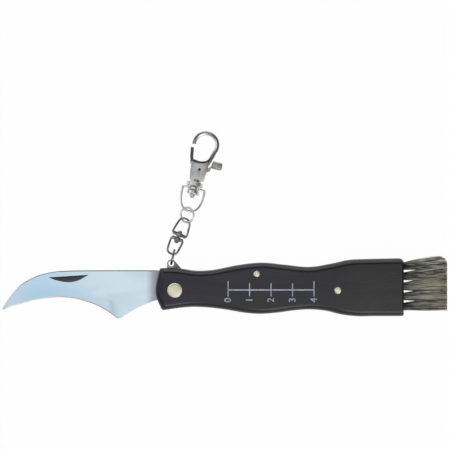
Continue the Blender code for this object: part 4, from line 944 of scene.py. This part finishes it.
def make_blade(steel, nick, painted_edge_shade):
    """The CAD model's tang, with the blade past it drawn anew in fine sections from spine to edge."""
    bm = cad_copy("blade")
    geom = [*bm.verts, *bm.edges, *bm.faces]
    end = (-TANG_END_SHARE * BLADE_REACH, 0, 0)
    bmesh.ops.bisect_plane(bm, geom=geom, dist=WELD, plane_co=end, plane_no=(-1, 0, 0), clear_outer=True)
    lines = []
    for shares in (SPINE_SHARES, EDGE_SHARES):
        points = [Vector((-x * BLADE_REACH, y * SPINE_HEIGHT)) for x, y in shares]
        lines.append(even_stations(points, BLADE_STATIONS))
    spine, edge = lines
    bmesh.ops.subdivide_edges(bm, edges=open_edges(bm), cuts=BLADE_SECTION_CUTS)
    edges = open_edges(bm)
    down = bm.verts.layers.float.new("down")
    face = bm.verts.layers.float.new("face")
    height = spine[0].y - edge[0].y
    for vert in {vert for edge in edges for vert in edge.verts}:
        vert[down] = (spine[0].y - vert.co.y) / height
        vert[face] = (vert.co.z - MID_PLANE) / (BLADE_THICKNESS / 2)
    for i in range(1, BLADE_STATIONS):
        done = i / (BLADE_STATIONS - 1)
        edges, verts = extruded_ring(bm, edges)
        width = (edge[i] - spine[i]).length
        for vert in verts:
            share, half = blade_section(done, vert[down], width)
            vert.co = (*spine[i].lerp(edge[i], share), MID_PLANE + vert[face] * half)
    bmesh.ops.edgeloop_fill(bm, edges=edges)
    mesh = carved(draft(bm, "blade_draft"), [nick_cutter()], "blade_ground", BLADE_SHARP_ANGLE)
    add_piece(mesh, "blade", ["blade"], steel, nick, painted_edge_shade)
    mark_faces(mesh)


def make_ruler(material):
    """The printed ruler: a line, five marks, and the digits 0 to 4, to be read from the blade's end."""
    bm = bmesh.new()
    top = HANDLE_THICKNESS + INK_THICKNESS
    half = RULER_LINE_WIDTH / 2
    mark_half = RULER_MARK_WIDTH / 2
    for i in range(RULER_MARKS):
        x = RULER_START + RULER_STEP * i
        high = RULER_END_MARK_HIGH if i in (0, RULER_MARKS - 1) else RULER_MARK_HIGH
        add_box(bm, (x - mark_half, RULER_MARK_LOW, HANDLE_THICKNESS), (x + mark_half, high, top))
        if i < RULER_MARKS - 1:
            low = (x + mark_half, RULER_LINE_Y - half, HANDLE_THICKNESS)
            add_box(bm, low, (x + RULER_STEP - mark_half, RULER_LINE_Y + half, top))
    add_piece(finished(bm, "ruler_lines"), "handle", [], material)
    for i in range(RULER_MARKS):
        text = bpy.data.curves.new(f"digit_{i}", "FONT")
        with_settings(text, body=str(i), align_x="CENTER", align_y="CENTER", extrude=INK_THICKNESS / 2)
        text.size = DIGIT_HEIGHT * DIGIT_SIZE_SHARE
        text.offset = DIGIT_HEIGHT * DIGIT_WEIGHT_SHARE
        mesh = evaluated(add_helper(f"digit_{i}_draft", text), f"ruler_digit_{i}")
        middle = HANDLE_THICKNESS + INK_THICKNESS / 2
        place = Matrix.Translation((RULER_START + RULER_STEP * i, DIGIT_Y, middle))
        mesh.transform(place @ Matrix.Rotation(QUARTER_TURN, 4, "Z"))
        add_piece(mesh, "handle", [], material)


def tip_at(offset, spread, index, count, low, high):
    """Where a hair ends between two limits, from its offset in its tuft and its tuft's place."""
    reach = copysign(abs(offset) ** SPREAD_POWER, offset) * spread
    return low + (high - low) * min(max((index + 0.5 + reach) / count, 0), 1)


def hair_ends(across, up, row, column, centre, chance):
    """A hair's root and tip, from its place in its tuft's round root, -1 to 1 each way."""
    y, z = centre
    root = Vector((HANDLE_END - TUFT_ROOT_DEPTH, y + TUFT_RADIUS * up, z + TUFT_RADIUS * across))
    tip_y = tip_at(up, ROW_SPREAD_SHARES[row], row, TUFT_ROWS, BRUSH_TIP_BOTTOM, BRUSH_TIP_TOP)
    sides = (BRUSH_SIDE_MARGIN, HANDLE_THICKNESS - BRUSH_SIDE_MARGIN)
    tip_z = tip_at(across, COLUMN_SPREAD_SHARE, column, TUFT_COLUMNS, *sides)
    past = max(tip_y - BRUSH_TIP_TOP + BRUSH_CORNER_HEIGHT, 0) / BRUSH_CORNER_HEIGHT
    length = BRISTLE_LENGTH - BRUSH_CORNER_CUT * past**2 - HAIR_SHORTER * chance.random() ** 3
    if chance.random() < HAIR_STRAY_SHARE:
        length -= HAIR_STRAY_SHORTER * chance.random()
    tip_y = min(max(tip_y + chance.gauss(0, HAIR_TIP_SCATTER), BRUSH_TIP_BOTTOM), BRUSH_TIP_TOP)
    tip_z = min(max(tip_z + chance.gauss(0, HAIR_TIP_SCATTER), sides[0]), sides[1])
    return root, Vector((HANDLE_END + length, tip_y, tip_z))


def make_tuft(row, column, centre, material, chance):
    """Four-sided hairs, extruded level by level from the cells of a grid that is cut apart."""
    bm = bmesh.new()
    bmesh.ops.create_grid(bm, x_segments=HAIRS_ACROSS, y_segments=HAIRS_ACROSS, size=1)
    bmesh.ops.split_edges(bm, edges=bm.edges)
    own = bm.verts.layers.int.new("hair")
    corner = bm.verts.layers.float_vector.new("corner")
    tone = bm.verts.layers.float.new("tone")
    hairs = []
    for i, face in enumerate(bm.faces):
        middle = face.calc_center_median()
        u, v = (min(max(c + chance.uniform(-1, 1) / HAIRS_ACROSS, -1), 1) for c in middle.to_2d())
        across = u * sqrt(1 - v * v / 2)
        up = v * sqrt(1 - u * u / 2)
        root, tip = hair_ends(across, up, row, column, centre, chance)
        sway = Vector((0, chance.gauss(0, HAIR_SWAY), chance.gauss(0, HAIR_SWAY)))
        hairs.append((root, tip, sway))
        shade = 0.5 + noise.noise(root / HAIR_CLUMP) + chance.gauss(0, HAIR_TONE_SCATTER)
        turn = chance.random() * tau
        for vert in face.verts:
            side = vert.co - middle
            angle = atan2(side.y, side.x) + turn
            vert[own] = i
            vert[corner] = (0, cos(angle), sin(angle))
            vert[tone] = min(max(shade, 0), 1)

    def settle(verts, share):
        for vert in verts:
            root, tip, sway = hairs[vert[own]]
            place = root.lerp(tip, share**HAIR_BEND_POWER)
            place.x = root.x + (tip.x - root.x) * share
            place += sway * sin(pi * share)
            vert.co = place + vert[corner] * HAIR_RADIUS * (1 + (HAIR_TIP_SHARE - 1) * share)

    settle(bm.verts, 0)
    faces = list(bm.faces)
    for level in range(1, HAIR_LEVELS + 1):
        faces = bmesh.ops.extrude_discrete_faces(bm, faces=faces)["faces"]
        settle([vert for face in faces for vert in face.verts], level / HAIR_LEVELS)
    bmesh.ops.holes_fill(bm, edges=open_edges(bm))
    number = row * TUFT_COLUMNS + column + 1
    mesh = finished(bm, f"brush_hair_{number}", pi)
    add_piece(mesh, "handle", [f"bristle_tuft_{number}"], material)


def make_brush(material):
    """The brush's tufts of hair, each in place of the CAD model's tuft of the same number."""
    low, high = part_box("brush_block")
    rise = (high.y - low.y - 2 * TUFT_TO_BLOCK_EDGE) / (TUFT_ROWS - 1)
    step = (high.z - low.z - 2 * TUFT_TO_BLOCK_SIDE) / (TUFT_COLUMNS - 1)
    chance = random.Random(HAIR_SEED)
    for row in range(TUFT_ROWS):
        y = low.y + TUFT_TO_BLOCK_EDGE + rise * row
        for column in range(TUFT_COLUMNS):
            z = low.z + TUFT_TO_BLOCK_SIDE + step * column
            make_tuft(row, column, (y, z), material, chance)


def frame_at(origin, yaw, pitch, roll=0):
    """A chain piece's frame: x across, y along it and z its normal."""
    along = Vector((sin(yaw) * cos(pitch), cos(yaw) * cos(pitch), sin(pitch)))
    level = Vector((cos(yaw), -sin(yaw), 0))
    normal = level.cross(along)
    across = level * cos(roll) + normal * sin(roll)
    normal = across.cross(along)
    return Matrix.Translation(origin) @ Matrix((across, along, normal)).transposed().to_4x4()


def bent_wire(bm, points, radius):
    """Adds a closed wire through points of the XY plane: a circle extruded from point to point."""
    normal = Vector((0, 0, 1))
    places = []
    for i, point in enumerate(points):
        along = (points[(i + 1) % len(points)] - points[i - 1]).normalized()
        turn = Matrix((normal.cross(along), normal, along)).transposed().to_4x4()
        places.append(Matrix.Translation(point) @ turn)
    verts = bmesh.ops.create_circle(bm, segments=WIRE_SIDES, radius=radius)["verts"]
    first = [edge for edge in bm.edges if edge.verts[0] in verts]
    bmesh.ops.transform(bm, matrix=places[0], verts=verts)
    edges = first
    for before, after in zip(places, places[1:]):
        edges, verts = extruded_ring(bm, edges)
        bmesh.ops.transform(bm, matrix=after @ before.inverted(), verts=verts)
    bmesh.ops.bridge_loops(bm, edges=[*first, *edges])


def loop_points(shares, half_width, length):
    """A closed loop from its end at y = 0 to its bar, its corners cut round in several passes."""
    right = [Vector((x * half_width, y * length, 0)) for x, y in shares]
    points = [*right, Vector((0, length, 0)), *[Vector((-p.x, p.y, 0)) for p in reversed(right[1:])]]
    for _ in range(WIRE_ROUNDING_PASSES):
        cut = []
        for i, point in enumerate(points):
            cut.append(point.lerp(points[i - 1], CORNER_CUT_SHARE))
            cut.append(point.lerp(points[(i + 1) % len(points)], CORNER_CUT_SHARE))
        points = cut
    return points


def boss_profile(radius, half):
    """A round boss with softened rims, as (radius, height) pairs from its top to its underside."""
    profile = [(0, half)]
    for k in range(BOSS_ROUNDING_STEPS + 1):
        angle = QUARTER_TURN * k / BOSS_ROUNDING_STEPS
        out = radius - BOSS_ROUNDING * (1 - sin(angle))
        profile.append((out, half - BOSS_ROUNDING * (1 - cos(angle))))
    return [*profile, *[(r, -h) for r, h in reversed(profile)]]


def bar_plate(bm, half_width, at):
    """Adds the flat plate that makes a swivel loop's bar, its edges rounded."""
    size = Vector((half_width * BAR_PLATE_SHARE, BAR_PLATE_HALF, BAR_PLATE_HALF))
    middle = Vector((0, at, 0))
    made = add_box(bm, middle - size, middle + size)
    geom = list({edge for vert in made for edge in vert.link_edges})
    rounding = {"offset": BAR_PLATE_ROUNDING, "segments": 3, "profile": 0.5}
    bmesh.ops.bevel(bm, geom=geom, affect="EDGES", material=-1, **rounding)


def make_wire(node, body, place, points, wire, material, boss=None, at=0, plate=0):
    """A closed wire in its place on the chain. Its bar, at y = at, may have a boss and a plate."""
    turn = Matrix.Translation((0, at, 0)) @ Matrix.Rotation(QUARTER_TURN, 4, "X")
    bm = turned(boss_profile(*boss), turn) if boss else bmesh.new()
    if plate:
        bar_plate(bm, plate, at)
    bent_wire(bm, points, wire)
    mesh = finished(bm, node + "_wire")
    mesh.transform(place)
    add_piece(mesh, body, [node], material)


def make_ring(node, place, radius, wire, material):
    angles = [tau * i / RING_STEPS for i in range(RING_STEPS)]
    points = [Vector((radius * cos(angle), radius * sin(angle), 0)) for angle in angles]
    make_wire(node, node, place, points, wire, material)


def make_chain(material, dark):
    """The chain from the lug to the hook's bail, its first ring and swivel of a darker metal."""
    ear_frame = frame_at((*LUG_PLACE, MID_PLANE), EAR_RING_YAW, 0, QUARTER_TURN)
    ear_place = ear_frame @ Matrix.Translation((0, EAR_RING_RADIUS - EAR_RING_HANG, 0))
    make_ring("ear_ring", ear_place, EAR_RING_RADIUS, EAR_RING_WIRE, dark)

    across_seat, along_seat, down_seat = (share * EAR_RING_RADIUS for share in LOOP_SEAT_SHARES)
    along = ear_frame.to_3x3() @ Vector((0, 1, 0))
    seat = ear_place.translation + along * along_seat - Vector((0, 0, down_seat))
    lower = frame_at(seat, SWIVEL_YAW, SWIVEL_PITCH) @ Matrix.Translation((across_seat, 0, 0))
    points = loop_points(LOWER_LOOP_SHARES, LOWER_HALF_WIDTH, LOWER_BAR_AT)
    style = (LOOP_WIRE, dark, (BAR_BOSS_RADIUS, BAR_HALF_THICKNESS))
    make_wire("swivel_lower_loop", "swivel_lower", lower, points, *style, LOWER_BAR_AT, LOWER_HALF_WIDTH)
    upper_bar = LOWER_BAR_AT + 2 * BAR_HALF_THICKNESS + BAR_GAP
    upper = frame_at(lower.translation, SWIVEL_YAW, SWIVEL_PITCH, SWIVEL_UPPER_ROLL)
    points = loop_points(UPPER_LOOP_SHARES, UPPER_HALF_WIDTH, SWIVEL_LENGTH - upper_bar)
    points = [Vector((point.x, SWIVEL_LENGTH - point.y, 0)) for point in points]
    make_wire("swivel_upper_loop", "swivel_upper", upper, points, *style, upper_bar, UPPER_HALF_WIDTH)

    upper_end = upper @ Vector((0, SWIVEL_LENGTH, 0))
    line = frame_at(upper_end, CHAIN_LINE_YAW, CHAIN_LINE_PITCH).to_3x3() @ Vector((0, 1, 0))
    seat = line * CHAIN_SEAT_SHARE * CHAIN_RING_RADIUS
    ring_place = frame_at(upper_end + seat, CHAIN_RING_YAW, CHAIN_LINE_PITCH, CHAIN_RING_ROLL)
    make_ring("chain_ring", ring_place, CHAIN_RING_RADIUS, CHAIN_RING_WIRE, material)

    bail = frame_at(upper_end + 2 * seat, HOOK_YAW, HOOK_PITCH, BAIL_ROLL)
    bail @= Matrix.Translation((BAIL_SEAT_ACROSS, 0, 0))
    points = loop_points(BAIL_SHARES, BAIL_HALF_WIDTH, BAIL_LENGTH)
    boss = (BAIL_BOSS_RADIUS, BAIL_BOSS_HALF_THICKNESS)
    make_wire("hook_bail", "bail", bail, points, BAIL_WIRE, material, boss, BAIL_LENGTH)


def round_tab(bm):
    """Draws the corners of the lever's square thumb tab in towards an oval, seen from above."""
    place = frame_at(TAB_MIDDLE, HOOK_YAW, HOOK_PITCH)
    to_tab = place.inverted()
    for vert in bm.verts:
        point = to_tab @ vert.co
        u = point.x / TAB_HALF_LENGTH
        v = point.y / TAB_HALF_HEIGHT
        if max(abs(u), abs(v)) < 1:
            point.x *= 1 + (sqrt(1 - v * v / 2) - 1) * TAB_OVAL_SHARE
            point.y *= 1 + (sqrt(1 - u * u / 2) - 1) * TAB_OVAL_SHARE
            vert.co = place @ point


def rounded_copy(node, width, material, body, shape=None):
    """A copy of a CAD node with its flat faces whole again and its edges rounded."""
    bm = cad_copy(node)
    bmesh.ops.dissolve_limit(bm, angle_limit=FLAT_ANGLE, verts=bm.verts, edges=bm.edges)
    if shape:
        shape(bm)
    obj = draft(bm, node + "_draft")
    modifier = with_settings(obj.modifiers.new("edges", "BEVEL"), width=width, segments=3)
    with_settings(modifier, limit_method="ANGLE", angle_limit=EDGE_ANGLE, use_clamp_overlap=True)
    add_piece(evaluated(obj, node + "_rounded"), body, [node], material)


def make_stage():
    """The floor, the lamps and the camera straight above the knife."""
    bm = bmesh.new()
    bmesh.ops.create_grid(bm, x_segments=8, y_segments=8, size=FLOOR_SIZE / 2)
    floor = draft(bm, "floor")
    paint(floor.data, floor_material())
    for name, place, size, power in LAMPS:
        lamp = with_settings(bpy.data.lights.new(name, "AREA"), size=size, energy=power)
        obj = add_helper(name, lamp)
        obj.location = place
        obj.rotation_euler = (Vector((*PHOTO_MIDDLE, 0)) - Vector(place)).to_track_quat("-Z", "Y").to_euler()
    data = bpy.data.cameras.new("camera")
    camera = add_helper("camera", with_settings(data, lens=CAMERA_LENS, sensor_width=CAMERA_SENSOR))
    camera.location = (*PHOTO_MIDDLE, HANDLE_THICKNESS + PHOTO_WIDTH * CAMERA_LENS / CAMERA_SENSOR)
    bpy.context.scene.camera = camera


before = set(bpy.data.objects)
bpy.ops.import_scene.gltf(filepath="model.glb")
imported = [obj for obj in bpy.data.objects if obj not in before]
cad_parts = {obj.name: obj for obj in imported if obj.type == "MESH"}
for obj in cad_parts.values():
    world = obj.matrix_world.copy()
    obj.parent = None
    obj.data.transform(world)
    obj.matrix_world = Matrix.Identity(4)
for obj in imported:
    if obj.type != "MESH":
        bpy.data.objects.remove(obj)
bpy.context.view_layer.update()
bpy.context.scene.view_settings.view_transform = "Standard"

make_world()
make_stage()

WOOD = wood_material()
LINER = liner_material()
NICKEL = nickel_material("nickel_plate", (0.6, 0.6, 0.59), (0.8, 0.79, 0.78), 0.24)
DARK_NICKEL = nickel_material("dull_nickel", (0.17, 0.17, 0.165), (0.36, 0.36, 0.345), 0.24)
BLACK_STEEL = nickel_material("black_steel", (0.012, 0.012, 0.012), (0.03, 0.03, 0.03), 0.35)

make_scale("front_scale", 1, WOOD)
make_scale("back_scale", -1, WOOD)
for node, material in (
    ("brush_block", WOOD),
    ("back_spring", LINER),
    ("lever_spring", DARK_NICKEL),
    ("lever_pin", BLACK_STEEL),
):
    paint(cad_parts[node].data, material)
for node in ("front_liner", "back_liner"):
    rounded_copy(node, PLATE_ROUNDING, LINER, "handle")
make_blade(blade_material(), nick_material(), edge_material())
make_pins(brass_material())
make_ruler(ink_material())
make_brush(bristle_material())
make_chain(NICKEL, DARK_NICKEL)
rounded_copy("swivel_rivet", METAL_ROUNDING, DARK_NICKEL, "swivel_lower")
rounded_copy("swivel_washer", METAL_ROUNDING, NICKEL, "hook")
rounded_copy("hook_body", METAL_ROUNDING, hook_material(), "hook")
rounded_copy("hook_lever", METAL_ROUNDING, lever_material(), "lever", round_tab)
